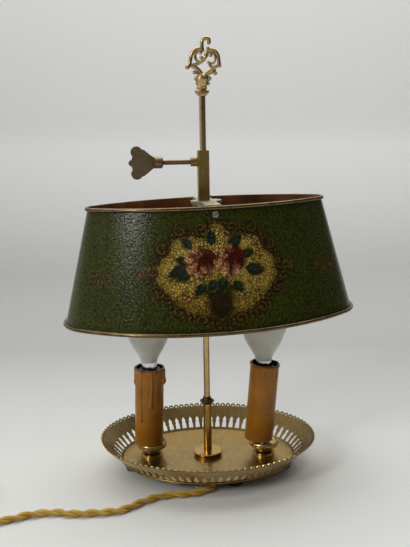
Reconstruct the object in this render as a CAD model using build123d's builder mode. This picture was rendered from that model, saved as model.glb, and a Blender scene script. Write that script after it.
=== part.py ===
"""Bouillotte lamp: oval pierced tray, two candle lights and a sliding painted oval shade.

Units are millimetres. +Z is up, +X is to the lamp's right and -Y is its front. The origin is
the centre of the tray on the surface that the lamp stands on.
"""

import math
import os

from build123d import *

os.makedirs("parts", exist_ok=True)


# ---------------------------------------------------------------- driving dimensions
# Tray plate, an oval of four tangent arcs
foot_height = 11.0
plate_thickness = 1.0
floor_half_length = 83.5
floor_half_width = 61.5
floor_end_radius = 48.5
plate_lip = 1.0
plate_edge_round = 0.45

# Pierced gallery that flares out from the plate
gallery_flare = 20.5
gallery_rise = 21.0
gallery_thickness = 0.9
piercing_count = 68
piercing_foot = 2.0
piercing_height = 12.9
piercing_half_width = 2.3
piercing_neck_half_width = 1.35
scallop_count = 102
scallop_depth = 3.6
scallop_hole_radius = 1.05
scallop_hole_drop = 2.35
scallop_gap = 0.5

# Feet
foot_top_radius = 9.5
foot_bottom_radius = 8.2
foot_reach = floor_half_length - 11.7
foot_spots = {
    "left": (-foot_reach, -4.0),
    "right": (foot_reach, -4.0),
    "front": (24.0, -37.0),
    "rear": (-24.0, 37.0),
}

# Stem
stem_radius = 4.0
stem_top = 65.0
stem_bottom = 3.5
socket_floor = 45.0
rod_radius = 3.0
rod_top = 361.0
turning_clearance = 0.04
flange_radius = 14.0
flange_height = 5.0
washer_radius = 10.0
washer_thickness = 1.2
stem_nut_flats = 13.0
stem_nut_height = 6.0
collar_radius = 6.95

# Candle lights
light_offset = floor_half_length - 28.8
light_tube_radius = 5.0
light_tube_bore = 3.4
light_tube_bottom = 5.5
light_nut_flats = 14.0
light_nut_height = 4.5
fit_clearance = 0.05
holder_radius = 10.6
holder_bottom = 66.0
holder_top = 100.0
holder_seat = 4.0
holder_cavity_floor = 76.0
candle_radius = 13.75
candle_bore_radius = 12.55
candle_length = 76.0
candle_top_round = 0.9
candle_lean = {"left": 2.0, "right": 4.75}
candle_foot_shift = {"left": -2.6, "right": -5.0}
candle_foot_height = {"left": 25.98, "right": 28.6}
bulb_cap_radius = 6.95
bulb_skirt_radius = 7.6
bulb_skirt_top = 107.5
bulb_radius = 22.5
bulb_centre = 144.5
bulb_ball_start = -30.5

# Shade, its bead centre lines are ovals of four tangent arcs
shade_turn = 7.5
shade_tilt = 1.4
shade_tilt_height = 282.0
shade_shift = 1.5
shade_half_length = 135.4
shade_half_width = 77.2
shade_end_radius = 44.0
shade_taper = 26.6
bead_radius = 1.7
shade_bottom = 153.0
shade_top = 260.0
sheet_thickness = 0.8
sheet_end_inset = 0.2

# Bridge, sleeve, clamp and key
bridge_thickness = 2.6
bridge_width = 14.0
bridge_disc_radius = 14.25
tab_width = 20.0
tab_depth = 12.5
tab_shift = -2.7
tab_thickness = 1.6
tab_screw_offset = 3.7
tab_screw_drop = 7.2
screw_radius = 1.5
screw_head_radius = 2.7
screw_head_height = 1.3
sleeve_side = 10.0
sleeve_length = 45.5
sleeve_sink = 0.4
sleeve_corner_round = 0.6
rod_hole_radius = 3.4
key_height = 295.6
boss_radius = 4.1
boss_reach = 11.4
pad_radius = 2.1
pad_tip = 3.03
pad_length = 1.6
key_shank_radius = 2.2
key_shoulder_start = 36.7
key_shoulder_end = 44.9
key_shoulder_radius = 5.2
key_plate_thickness = 3.0

# Cord, wires and plug
cord_radius = 3.3
lead_radius = 0.9
wire_radius = 1.1
coil_centre = (-243.8, -74.4)
coil_mid_radius = 36.0
coil_half_width = 13.0
coil_height = 13.1
coil_bottom = 0.15
plug_width = 35.0
plug_thickness = 13.7
plug_length = 34.0
plug_nose_length = 12.0
pin_radius = 2.0
pin_length = 19.0
pin_spacing = 18.6

# The cord's route from its end under the tray to the coil, and from the coil to the plug
cord_route = [
    (6.4, -22.3, 7.2),
    (10.5, -46.0, 4.6),
    (-6.0, -63.5, 3.4),
    (-36.0, -64.3, 3.35),
    (-56.0, -74.0, 3.35),
    (-74.0, -92.0, 3.35),
    (-92.0, -94.5, 3.35),
    (-116.0, -96.5, 3.35),
    (-132.0, -92.0, 3.35),
    (-154.0, -95.5, 3.35),
    (-170.0, -104.5, 3.35),
    (-203.0, -114.0, 3.35),
    (-236.0, -119.6, 3.35),
]
tail_route = [
    (-289.7, -74.4, 9.95),
    (-290.0, -48.4, 8.6),
    (-291.4, -22.5, 6.85),
]

# ---------------------------------------------------------------- values that follow
plate_top = foot_height + plate_thickness
slant = math.atan2(gallery_rise, gallery_flare)
slant_length = math.hypot(gallery_rise, gallery_flare)
collar_bottom = stem_top - 0.6
flange_top = plate_top + flange_height
bridge_top = shade_top + 0.6
sleeve_bottom = bridge_top - sleeve_sink
bead_low = shade_bottom + bead_radius
bead_high = shade_top - bead_radius
wall_lean = shade_taper / (bead_high - bead_low)
sleeve_bore = rod_radius + turning_clearance
sleeve_stand = Rotation(0, 0, shade_turn)
shade_hang = (
    Pos(shade_shift, 0, shade_tilt_height)
    * Rotation(0, -shade_tilt, 0)
    * Pos(0, 0, -shade_tilt_height)
    * sleeve_stand
)


# ---------------------------------------------------------------- helpers
def keep(piece, name, stand=None):
    """Move a finished piece by its stand, if it has one, then label and write it."""
    solid = piece.part
    if stand is not None:
        solid = solid.moved(stand)
    solid.label = name
    export_step(solid, "parts/" + name + ".step")


def front_plane(x, y, z):
    """Upright plane through a point, facing the lamp's front."""
    return Plane(origin=(x, y, z), x_dir=(1, 0, 0), z_dir=(0, -1, 0))


def rear_plane(x, y, z):
    """Upright plane through a point, facing the lamp's rear."""
    return Plane(origin=(x, y, z), x_dir=(1, 0, 0), z_dir=(0, 1, 0))


def oval_arcs(half_length, half_width, end_radius):
    """Centre, radius, start angle and sweep of an oval's four tangent arcs."""
    end_x = half_length - end_radius
    side_radius = (end_x**2 + half_width**2 - end_radius**2) / (2 * (half_width - end_radius))
    side_y = side_radius - half_width
    end_half = math.degrees(math.atan2(side_y, end_x))
    side_sweep = 180 - 2 * end_half
    return [
        ((end_x, 0), end_radius, -end_half, 2 * end_half),
        ((0, -side_y), side_radius, end_half, side_sweep),
        ((-end_x, 0), end_radius, 180 - end_half, 2 * end_half),
        ((0, side_y), side_radius, 180 + end_half, side_sweep),
    ]


def turn_round(arcs, outline, bead=None):
    """Turn an outline about each arc centre; its x is the distance from that centre.

    With a bead, given as (inset, height), the outline is cut out of that round bar instead.
    """
    for (x, y), radius, start, sweep_angle in arcs:
        a = math.radians(start)
        along = (math.cos(a), math.sin(a), 0)
        stand = Plane(origin=(x, y, 0), x_dir=along, z_dir=(math.sin(a), -math.cos(a), 0))
        with BuildSketch(stand) as section:
            if bead:
                with Locations((radius - bead[0], bead[1])):
                    Circle(bead_radius)
            with BuildLine():
                Polyline(*outline(radius), close=True)
            make_face(mode=Mode.SUBTRACT if bead else Mode.ADD)
        revolve(section.sketch, axis=Axis((x, y, 0), (0, 0, 1)), revolution_arc=sweep_angle)


def spaced_round(arcs, offset, count, first):
    """Centre, radius and angle of equal steps along an oval, from the middle of its rear side."""
    lengths = [(radius + offset) * math.radians(sweep) for _, radius, _, sweep in arcs]
    total = sum(lengths)
    places = []
    for step in range(count):
        along = (lengths[0] + lengths[1] / 2 + (step + first) * total / count) % total
        k = 0
        while along > lengths[k]:
            along -= lengths[k]
            k += 1
        centre, radius, start, sweep = arcs[k]
        places.append((centre, radius, start + sweep * along / lengths[k]))
    return places


def gallery_planes(arcs, offset, count, first):
    """Planes on the gallery's outer face: x along the rim, y up the slope, z out and down."""
    planes = []
    for (x, y), radius, angle in spaced_round(arcs, offset, count, first):
        c = math.cos(math.radians(angle))
        s = math.sin(math.radians(angle))
        planes.append(
            Plane(
                origin=(x + radius * c, y + radius * s, plate_top),
                x_dir=(-s, c, 0),
                z_dir=(math.sin(slant) * c, math.sin(slant) * s, -math.cos(slant)),
            )
        )
    return planes


def mirrored(half_outline):
    """Close an outline that is given as (height, half width) from bottom to top."""
    right = [(width, height) for height, width in half_outline]
    left = [(-width, height) for height, width in reversed(half_outline) if width > 0]
    return right + left


def bend_radii(points, share=0.45):
    """The largest even bend at each corner of a route."""
    radii = []
    for before, corner, after in zip(points, points[1:], points[2:]):
        run_in = Vector(*corner) - Vector(*before)
        run_out = Vector(*after) - Vector(*corner)
        half_turn = math.radians(run_in.get_angle(run_out)) / 2
        radii.append(share * min(run_in.length, run_out.length) / math.tan(half_turn))
    return radii


def round_along(points, radius):
    """A round bar along a route of straight runs and tangent arcs."""
    with BuildLine():
        route = FilletPolyline(*points, radius=bend_radii(points))
    with BuildSketch(Plane(origin=route @ 0, z_dir=route % 0)) as section:
        Circle(radius)
    sweep(section.sketch, path=route)
    return route.length


def turned_profile(points):
    """Turn a closed outline of (radius, height) points about the Z axis."""
    with BuildSketch(Plane.XZ) as section:
        with BuildLine():
            Polyline(*points, close=True)
        make_face()
    revolve(section.sketch, axis=Axis.Z)


# ---------------------------------------------------------------- tray
floor_arcs = oval_arcs(floor_half_length, floor_half_width, floor_end_radius)
plate_arcs = oval_arcs(
    floor_half_length + plate_lip,
    floor_half_width + plate_lip,
    floor_end_radius + plate_lip,
)
clip_spot = (-0.2, -30.0)
clip_screw_radius = 1.4

with BuildPart() as tray_floor:
    with BuildSketch(Plane.XY.offset(foot_height)):
        with BuildLine():
            for centre, radius, start, sweep_angle in plate_arcs:
                CenterArc(centre, radius, start, sweep_angle)
        make_face()
        Circle(stem_radius + fit_clearance, mode=Mode.SUBTRACT)
        with Locations((-light_offset, 0), (light_offset, 0)):
            Circle(light_tube_radius + fit_clearance, mode=Mode.SUBTRACT)
        with Locations(clip_spot):
            Circle(clip_screw_radius, mode=Mode.SUBTRACT)
    extrude(amount=plate_thickness)
    rim_edges = [
        edge for edge in tray_floor.edges() if edge.length > 60 and edge.bounding_box().size.Z < 0.01
    ]
    fillet(rim_edges, radius=plate_edge_round)
keep(tray_floor, "tray_floor")

# Each piercing is a flat-footed body with a neck and an onion-shaped head
piercing_outline = [
    (0.0, piercing_half_width),
    (0.42 * piercing_height, 0.9 * piercing_half_width),
    (0.57 * piercing_height, piercing_neck_half_width),
    (0.70 * piercing_height, 0.87 * piercing_half_width),
    (0.86 * piercing_height, 0.4 * piercing_half_width),
    (piercing_height, 0.0),
]
with BuildPart() as piercing_punch:
    with BuildSketch(Plane(origin=(0, piercing_foot, 0))):
        with BuildLine():
            Polyline(*mirrored(piercing_outline), close=True)
        make_face()
    extrude(amount=2 * gallery_thickness, both=True)

# The gaps between scallops, and the hole in each scallop
rim_offset = gallery_flare - scallop_depth * math.cos(slant) / 2
rim_length = sum(
    (radius + rim_offset) * math.radians(sweep_angle) for _, radius, _, sweep_angle in floor_arcs
)
scallop_half = rim_length / scallop_count / 2
gap_outline = [
    (slant_length - scallop_depth, scallop_gap / 2),
    (slant_length - 0.66 * scallop_depth, scallop_gap / 2),
    (slant_length - 0.30 * scallop_depth, 0.27 * scallop_half),
    (slant_length - 0.08 * scallop_depth, 0.60 * scallop_half),
    (slant_length + 1.0, 0.95 * scallop_half),
]
with BuildPart() as gap_punch:
    with BuildSketch():
        with BuildLine():
            Polyline(*mirrored(gap_outline), close=True)
        make_face()
    extrude(amount=2 * gallery_thickness, both=True)
with BuildPart() as hole_punch:
    with BuildSketch():
        with Locations((0, slant_length - scallop_hole_drop)):
            RegularPolygon(scallop_hole_radius, 6)
    extrude(amount=2 * gallery_thickness, both=True)


def gallery_section(radius):
    """The sloping wall, with a level foot and a square-cut rim."""
    in_x = gallery_thickness * math.sin(slant)
    up_z = gallery_thickness * math.cos(slant)
    foot_width = gallery_thickness / math.sin(slant)
    return [
        (radius, plate_top),
        (radius + gallery_flare, plate_top + gallery_rise),
        (radius + gallery_flare - in_x, plate_top + gallery_rise + up_z),
        (radius - foot_width, plate_top),
    ]


piercing_offset = (piercing_foot + piercing_height / 2) * math.cos(slant)
with BuildPart() as tray_gallery:
    turn_round(floor_arcs, gallery_section)
    with Locations(*gallery_planes(floor_arcs, piercing_offset, piercing_count, 0.5)):
        add(piercing_punch.part, mode=Mode.SUBTRACT)
    with Locations(*gallery_planes(floor_arcs, rim_offset, scallop_count, 0.5)):
        add(gap_punch.part, mode=Mode.SUBTRACT)
    with Locations(*gallery_planes(floor_arcs, rim_offset, scallop_count, 0.0)):
        add(hole_punch.part, mode=Mode.SUBTRACT)
keep(tray_gallery, "tray_gallery")

for spot_name, (spot_x, spot_y) in foot_spots.items():
    with BuildPart() as foot:
        with BuildSketch(Plane.XY):
            with Locations((spot_x, spot_y)):
                Circle(foot_bottom_radius)
        with BuildSketch(Plane.XY.offset(foot_height)):
            with Locations((spot_x, spot_y)):
                Circle(foot_top_radius)
        loft()
    keep(foot, "foot_" + spot_name)


# ---------------------------------------------------------------- stem
with BuildPart() as stem_flange:
    flange_bore = stem_radius + fit_clearance
    turned_profile(
        [
            (flange_bore, plate_top),
            (flange_radius - 0.4, plate_top),
            (flange_radius, plate_top + 0.4),
            (flange_radius, plate_top + 1.5),
            (flange_radius - 1.1, plate_top + 1.9),
            (flange_radius - 1.1, plate_top + 2.6),
            (flange_radius, plate_top + 3.0),
            (flange_radius, plate_top + 4.1),
            (flange_radius - 0.7, plate_top + 4.6),
            (flange_bore, flange_top),
        ]
    )
keep(stem_flange, "stem_flange")

with BuildPart() as stem_tube:
    with BuildSketch(Plane.XY.offset(stem_bottom)):
        Circle(stem_radius)
    extrude(amount=stem_top - stem_bottom)
    with BuildSketch(Plane.XY.offset(socket_floor)):
        Circle(rod_radius + turning_clearance)
    extrude(amount=stem_top - socket_floor, mode=Mode.SUBTRACT)
keep(stem_tube, "stem_tube")

with BuildPart() as stem_washer:
    with BuildSketch(Plane.XY.offset(foot_height - washer_thickness)):
        Circle(washer_radius)
        Circle(stem_radius + fit_clearance, mode=Mode.SUBTRACT)
    extrude(amount=washer_thickness)
keep(stem_washer, "stem_washer")

with BuildPart() as stem_nut:
    with BuildSketch(Plane.XY.offset(foot_height - washer_thickness - stem_nut_height)):
        RegularPolygon(stem_nut_flats / 2, 6, major_radius=False)
        Circle(stem_radius, mode=Mode.SUBTRACT)
    extrude(amount=stem_nut_height)
keep(stem_nut, "stem_nut")

# A hat-shaped collar whose brim covers the top of the lower tube
with BuildPart() as stem_collar:
    turned_profile(
        [
            (stem_radius + fit_clearance, collar_bottom),
            (stem_radius + 0.7, collar_bottom),
            (stem_radius + 1.3, collar_bottom + 1.3),
            (collar_radius, collar_bottom + 2.4),
            (collar_radius - 0.3, collar_bottom + 3.2),
            (stem_radius + 0.5, collar_bottom + 4.1),
            (rod_radius + 0.6, collar_bottom + 6.4),
            (rod_radius + 0.5, collar_bottom + 7.1),
            (rod_radius + turning_clearance, collar_bottom + 7.1),
            (rod_radius + turning_clearance, stem_top),
            (stem_radius + fit_clearance, stem_top),
        ]
    )
keep(stem_collar, "stem_collar")

with BuildPart() as upper_rod:
    with BuildSketch(Plane.XY.offset(socket_floor)):
        Circle(rod_radius)
    extrude(amount=rod_top - socket_floor)
keep(upper_rod, "upper_rod")


# ---------------------------------------------------------------- finial
# Cast scrollwork in one upright plane, each scroll a bar with ball ends, on a turned socket
finial_bottom = 353.7
scrolls = [
    (1.7, [(1.1, 392.4), (0.4, 396.7), (0.7, 401.1), (3.5, 403.4), (6.8, 402.8), (6.9, 399.4)]),
    (
        1.6,
        [(2.4, 392.4), (-2.2, 394.5), (-6.4, 392.9), (-9.0, 388.8), (-9.8, 384.3), (-10.9, 379.0)],
    ),
    (1.2, [(-1.0, 392.6), (-4.5, 391.3), (-5.8, 387.9), (-4.7, 384.3), (-1.0, 382.7)]),
    (1.5, [(4.6, 390.0), (3.0, 385.4), (-1.3, 382.2), (-9.2, 380.1)]),
    (1.0, [(2.8, 385.1), (1.4, 386.4), (-0.2, 386.8)]),
    (
        1.6,
        [
            (4.2, 386.9),
            (4.0, 390.8),
            (7.5, 393.3),
            (11.7, 392.8),
            (14.7, 389.0),
            (15.3, 384.4),
            (15.6, 379.7),
        ],
    ),
    (1.1, [(5.9, 389.1), (8.7, 392.0), (11.7, 389.9), (12.5, 385.8), (10.7, 381.2), (6.3, 382.5)]),
    (1.3, [(6.3, 382.3), (8.7, 377.8), (15.6, 380.1)]),
    (1.3, [(11.2, 378.8), (11.1, 375.9), (12.1, 373.1)]),
    (1.7, [(1.1, 368.3), (3.1, 372.4), (7.8, 375.2), (13.1, 379.1)]),
    (1.2, [(3.4, 369.5), (6.1, 372.5), (9.4, 374.0)]),
    (1.8, [(1.1, 368.3), (-0.3, 373.1), (-3.7, 377.5), (-9.0, 380.0)]),
    (1.3, [(-1.0, 369.2), (-3.3, 373.6), (-6.3, 374.1)]),
]
balls = [
    (-12.4, 378.9, 2.2),
    (6.8, 399.4, 1.8),
    (-0.9, 390.9, 1.7),
    (-0.2, 386.7, 1.6),
    (8.1, 388.8, 1.9),
    (6.2, 382.5, 1.5),
    (15.9, 379.5, 1.7),
    (12.2, 372.9, 1.7),
    (9.5, 374.0, 1.5),
    (-6.5, 374.1, 1.8),
    (-4.9, 368.7, 2.1),
    (6.6, 368.6, 2.1),
    (-3.8, 364.6, 1.9),
    (5.4, 364.4, 1.8),
    (5.7, 394.5, 1.6),
]
with BuildPart() as finial:
    turned_profile(
        [
            (0, finial_bottom),
            (3.95, finial_bottom),
            (4.6, finial_bottom + 1.2),
            (6.4, finial_bottom + 2.6),
            (6.5, finial_bottom + 4.4),
            (4.4, finial_bottom + 6.0),
            (4.9, finial_bottom + 7.2),
            (4.2, finial_bottom + 8.6),
            (4.9, finial_bottom + 11.0),
            (5.9, finial_bottom + 14.2),
            (4.9, finial_bottom + 17.0),
            (2.2, finial_bottom + 19.4),
            (0, finial_bottom + 19.8),
        ]
    )
    for bar_radius, flat_points in scrolls:
        round_along([(x, 0, z) for x, z in flat_points], bar_radius)
    for ball_x, ball_z, ball_radius in balls:
        with Locations((ball_x, 0, ball_z)):
            Sphere(ball_radius)
    with BuildSketch(Plane.XY.offset(finial_bottom)):
        Circle(rod_radius)
    extrude(amount=rod_top - finial_bottom, mode=Mode.SUBTRACT)
keep(finial, "finial")


# ---------------------------------------------------------------- candle lights
sides = {"left": -light_offset, "right": light_offset}

with BuildPart() as light_nuts:
    with BuildSketch(Plane.XY.offset(foot_height - light_nut_height)):
        with Locations((-light_offset, 0), (light_offset, 0)):
            RegularPolygon(light_nut_flats / 2, 6, major_radius=False, rotation=30)
            Circle(light_tube_radius, mode=Mode.SUBTRACT)
    extrude(amount=light_nut_height)
keep(light_nuts, "light_nuts")

cup_bore = light_tube_radius + fit_clearance
with BuildPart() as cup_blank:
    with BuildSketch(Plane.XZ):
        with BuildLine():
            Polyline(
                (13.9, plate_top + 14.0),
                (13.2, plate_top + 13.4),
                (12.9, plate_top + 12.4),
                (11.4, plate_top + 11.5),
                (cup_bore, plate_top + 11.5),
                (cup_bore, plate_top),
                (10.75, plate_top),
                (10.75, plate_top + 1.4),
                (10.1, plate_top + 2.0),
                (10.1, plate_top + 3.0),
                (8.3, plate_top + 4.4),
                (8.2, plate_top + 6.6),
                (9.5, plate_top + 7.8),
                (13.2, plate_top + 8.6),
            )
            ThreePointArc((13.2, plate_top + 8.6), (14.75, plate_top + 11.4), (13.9, plate_top + 14.0))
        make_face()
    revolve(axis=Axis.Z)

with BuildPart() as light_tube_blank:
    with BuildSketch(Plane.XY.offset(light_tube_bottom)):
        Circle(light_tube_radius)
        Circle(light_tube_bore, mode=Mode.SUBTRACT)
    extrude(amount=holder_bottom + holder_seat - light_tube_bottom)

contact_radius = 2.0
contact_top = holder_cavity_floor + 1.0
with BuildPart() as holder_blank:
    turned_profile(
        [
            (light_tube_radius, holder_bottom),
            (holder_radius, holder_bottom),
            (holder_radius, holder_top),
            (bulb_cap_radius + 0.15, holder_top),
            (bulb_cap_radius + 0.15, holder_cavity_floor),
            (contact_radius, holder_cavity_floor),
            (contact_radius, holder_bottom + holder_seat),
            (light_tube_radius, holder_bottom + holder_seat),
        ]
    )

with BuildPart() as contact_blank:
    with BuildSketch(Plane.XY.offset(holder_bottom + holder_seat)):
        Circle(contact_radius)
    extrude(amount=contact_top - holder_bottom - holder_seat)

with BuildPart() as cap_blank:
    turned_profile(
        [
            (0, contact_top),
            (2.6, contact_top),
            (3.0, contact_top + 1.6),
            (bulb_cap_radius - 0.6, contact_top + 3.4),
            (bulb_cap_radius, contact_top + 4.4),
            (bulb_cap_radius, holder_top),
            (bulb_skirt_radius - 0.5, holder_top),
            (bulb_skirt_radius, holder_top + 1.5),
            (bulb_skirt_radius, bulb_skirt_top),
            (0, bulb_skirt_top),
        ]
    )

with BuildPart() as globe_blank:
    with BuildSketch(Plane.XZ):
        with BuildLine():
            neck = Line((0, bulb_skirt_top), (bulb_skirt_radius, bulb_skirt_top))
            ball = CenterArc((0, bulb_centre), bulb_radius, bulb_ball_start, 90 - bulb_ball_start)
            Spline(neck @ 1, (9.2, 112.2), (12.0, 117.2), (15.0, 122.3), ball @ 0)
            Line(ball @ 1, neck @ 0)
        make_face()
    revolve(axis=Axis.Z)

light_pieces = {
    "cup": cup_blank,
    "light_tube": light_tube_blank,
    "holder": holder_blank,
    "holder_contact": contact_blank,
    "bulb_cap": cap_blank,
    "bulb_globe": globe_blank,
}
for side, side_x in sides.items():
    for piece_name, blank in light_pieces.items():
        with BuildPart() as light_piece:
            with Locations((side_x, 0, 0)):
                add(blank.part)
        keep(light_piece, piece_name + "_" + side)
    # The loose candle sleeve leans on the holder
    lean = math.radians(candle_lean[side])
    candle_stand = Plane(
        origin=(side_x + candle_foot_shift[side], 0, candle_foot_height[side]),
        x_dir=(math.cos(lean), 0, -math.sin(lean)),
        z_dir=(math.sin(lean), 0, math.cos(lean)),
    )
    with BuildPart() as candle:
        with BuildSketch(candle_stand):
            Circle(candle_radius)
            Circle(candle_bore_radius, mode=Mode.SUBTRACT)
        extrude(amount=candle_length)
        fillet(candle.faces().sort_by(Axis.Z)[-1].outer_wire().edges(), radius=candle_top_round)
    keep(candle, "candle_" + side)


# ---------------------------------------------------------------- shade
shade_arcs = oval_arcs(shade_half_length, shade_half_width, shade_end_radius)
sheet_across = sheet_thickness * math.hypot(1, wall_lean)


def wall_inside(radius, z):
    """Distance of the sheet's inner face from an arc centre, at a height."""
    return radius - bead_radius - wall_lean * (z - bead_low)


def sheet_section(radius):
    """The flaring sheet from bead to bead."""
    low = shade_bottom + sheet_end_inset
    high = shade_top - sheet_end_inset
    return [
        (wall_inside(radius, low), low),
        (wall_inside(radius, low) + sheet_across, low),
        (wall_inside(radius, high) + sheet_across, high),
        (wall_inside(radius, high), high),
    ]


def tab_planes():
    """Planes on the sheet's outer face at each tab's screw and spare hole, z outwards."""
    planes = {"screw": [], "spare": []}
    side_y = shade_arcs[1][0][1]
    side_radius = shade_arcs[1][1]
    z = shade_top - tab_screw_drop
    reach = wall_inside(side_radius, z) + sheet_across
    shifts = {"screw": tab_shift + tab_screw_offset, "spare": tab_shift - tab_screw_offset}
    for kind, shift in shifts.items():
        for facing in (-90, 90):
            angle = math.radians(facing) + shift / reach
            c = math.cos(angle)
            s = math.sin(angle)
            centre_y = -side_y if facing < 0 else side_y
            origin = (reach * c, centre_y + reach * s, z)
            planes[kind].append(Plane(origin=origin, x_dir=(-s, c, 0), z_dir=(c, s, wall_lean)))
    return planes


tab_spots = tab_planes()
hole_depth = 2 * (sheet_thickness + tab_thickness)


def drill_tab_holes():
    """Drill the screw holes and the spare holes through sheet or tab."""
    with BuildSketch(*tab_spots["screw"], *tab_spots["spare"]) as holes:
        Circle(screw_radius)
    extrude(holes.sketch, amount=hole_depth, both=True, mode=Mode.SUBTRACT)


with BuildPart() as shade_sheet:
    turn_round(shade_arcs, sheet_section)
    drill_tab_holes()
keep(shade_sheet, "shade_sheet", shade_hang)


def bead_seat(radius):
    """All that lies inside the sheet's outer face, which a bead seats on."""
    low = shade_bottom - 1
    high = shade_top + 1
    return [
        (wall_inside(radius, low) + sheet_across, low),
        (wall_inside(radius, high) + sheet_across, high),
        (wall_inside(radius, high) - 4 * bead_radius, high),
        (wall_inside(radius, low) - 4 * bead_radius, low),
    ]


with BuildPart() as shade_rim_bottom:
    turn_round(shade_arcs, bead_seat, bead=(0, bead_low))
keep(shade_rim_bottom, "shade_rim_bottom", shade_hang)

with BuildPart() as shade_rim_top:
    turn_round(shade_arcs, bead_seat, bead=(shade_taper, bead_high))
keep(shade_rim_top, "shade_rim_top", shade_hang)


# ---------------------------------------------------------------- bridge, sleeve and key
tab_bottom = bridge_top - tab_depth
tab_reach = wall_inside(shade_arcs[1][1], bridge_top)
tab_half_angle = math.degrees(tab_width / 2 / tab_reach)
tab_turn = math.degrees(tab_shift / tab_reach)


def tab_section(radius):
    """A tab that lies on the inside of the sheet."""
    across = tab_thickness * math.hypot(1, wall_lean)
    return [
        (wall_inside(radius, tab_bottom), tab_bottom),
        (wall_inside(radius, bridge_top), bridge_top),
        (wall_inside(radius, bridge_top) - across, bridge_top),
        (wall_inside(radius, tab_bottom) - across, tab_bottom),
    ]


tab_arcs = [
    (shade_arcs[1][0], shade_arcs[1][1], 90 - tab_half_angle + tab_turn, 2 * tab_half_angle),
    (shade_arcs[3][0], shade_arcs[3][1], 270 - tab_half_angle + tab_turn, 2 * tab_half_angle),
]
strap_half_length = tab_reach + shade_arcs[1][0][1] - tab_thickness / 2
# The upright sleeve's foot, seen from the strap that hangs askew
sleeve_seat = Plane(shade_hang.inverse() * sleeve_stand * Pos(0, 0, sleeve_bottom))
with BuildPart() as shade_bridge:
    turn_round(tab_arcs, tab_section)
    with BuildSketch(Plane.XY.offset(bridge_top - bridge_thickness)):
        Rectangle(bridge_width, 2 * strap_half_length)
        Circle(bridge_disc_radius)
    extrude(amount=bridge_thickness)
    with BuildSketch(sleeve_seat):
        RectangleRounded(sleeve_side, sleeve_side, sleeve_corner_round)
    extrude(amount=bridge_thickness, mode=Mode.SUBTRACT)
    with BuildSketch(sleeve_seat):
        Circle(rod_hole_radius)
    extrude(amount=-2 * bridge_thickness, mode=Mode.SUBTRACT)
    drill_tab_holes()
keep(shade_bridge, "shade_bridge", shade_hang)

with BuildPart() as bridge_screws:
    with BuildSketch(*tab_spots["screw"]):
        Circle(screw_head_radius)
    extrude(amount=screw_head_height)
    fillet(bridge_screws.edges().filter_by(GeomType.CIRCLE).sort_by(Axis.Y)[:1], radius=0.4)
    with BuildSketch(*tab_spots["screw"]):
        Circle(screw_radius)
    extrude(amount=-(sheet_thickness + tab_thickness + 0.6))
    with BuildSketch(*[plane.offset(screw_head_height) for plane in tab_spots["screw"]]):
        Rectangle(2 * screw_head_radius + 1, 0.7, rotation=25)
    extrude(amount=-0.6, mode=Mode.SUBTRACT)
keep(bridge_screws, "bridge_screws", shade_hang)

# The key's axis points to the left; distances along it are counted from the rod's centre line
key_plane = Plane(origin=(0, 0, key_height), x_dir=(0, 1, 0), z_dir=(-1, 0, 0))
with BuildPart() as slide_sleeve:
    with BuildSketch(Plane.XY.offset(sleeve_bottom)):
        RectangleRounded(sleeve_side, sleeve_side, sleeve_corner_round)
    extrude(amount=sleeve_length)
    with BuildSketch(key_plane):
        Circle(boss_radius)
    extrude(amount=boss_reach)
    with BuildSketch(Plane.XY.offset(sleeve_bottom)):
        Circle(sleeve_bore)
    extrude(amount=sleeve_length, mode=Mode.SUBTRACT)
    with BuildSketch(key_plane):
        Circle(key_shank_radius + fit_clearance)
    extrude(amount=boss_reach, mode=Mode.SUBTRACT)
keep(slide_sleeve, "slide_sleeve", sleeve_stand)

with BuildPart() as clamp_pad:
    with BuildSketch(key_plane.offset(pad_tip)):
        Circle(pad_radius)
    extrude(amount=pad_length)
keep(clamp_pad, "clamp_pad", sleeve_stand)

# Key: shank, shoulder and a flat heart-shaped thumb plate with three lobes
lobe_spot = (60.2, 9.6)
lobe_radius = 5.2
nose_spot = 64.6
nose_radius = 2.9
with BuildPart() as shade_key:
    with BuildSketch(key_plane.offset(pad_tip + pad_length)):
        Circle(key_shank_radius)
    extrude(amount=key_shoulder_start + 1 - pad_tip - pad_length)
    with BuildSketch(Plane.XZ):
        with BuildLine():
            Polyline(
                (-key_shoulder_start, key_height),
                (-key_shoulder_start, key_height + key_shoulder_radius - 1.2),
                (-key_shoulder_start - 1.2, key_height + key_shoulder_radius),
                (-key_shoulder_end + 1.0, key_height + key_shoulder_radius),
                (-key_shoulder_end, key_height + key_shoulder_radius - 1.6),
                (-key_shoulder_end - 0.6, key_height),
                close=True,
            )
        make_face()
    revolve(axis=Axis((0, 0, key_height), (1, 0, 0)))
    with BuildSketch(front_plane(0, 0, key_height)):
        with BuildLine():
            Polyline(
                (-44.0, -4.6),
                (-46.8, -6.2),
                (-53.4, -11.6),
                (-59.0, -13.2),
                (-64.0, -6.0),
                (-64.6, -3.6),
                (-64.6, 3.6),
                (-64.0, 6.0),
                (-59.0, 13.2),
                (-53.4, 11.6),
                (-46.8, 6.2),
                (-44.0, 4.6),
                close=True,
            )
        make_face()
        with Locations((-lobe_spot[0], lobe_spot[1]), (-lobe_spot[0], -lobe_spot[1])):
            Circle(lobe_radius)
        with Locations((-nose_spot, 0)):
            Circle(nose_radius)
    extrude(amount=key_plate_thickness / 2, both=True)
keep(shade_key, "shade_key", sleeve_stand)


# ---------------------------------------------------------------- wiring under the tray
block_right = -1.2
block_left = -12.2
block_front = -52.0
block_rear = -40.0
block_bottom = 2.6
terminal_heights = 6.4
terminal_spots = (-9.4, -4.0)
with BuildPart() as terminal_block:
    with BuildSketch(Plane.XY.offset(block_bottom)):
        with Locations(((block_left + block_right) / 2, (block_front + block_rear) / 2)):
            Rectangle(block_right - block_left, block_rear - block_front)
    extrude(amount=foot_height - block_bottom)
keep(terminal_block, "terminal_block")

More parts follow.
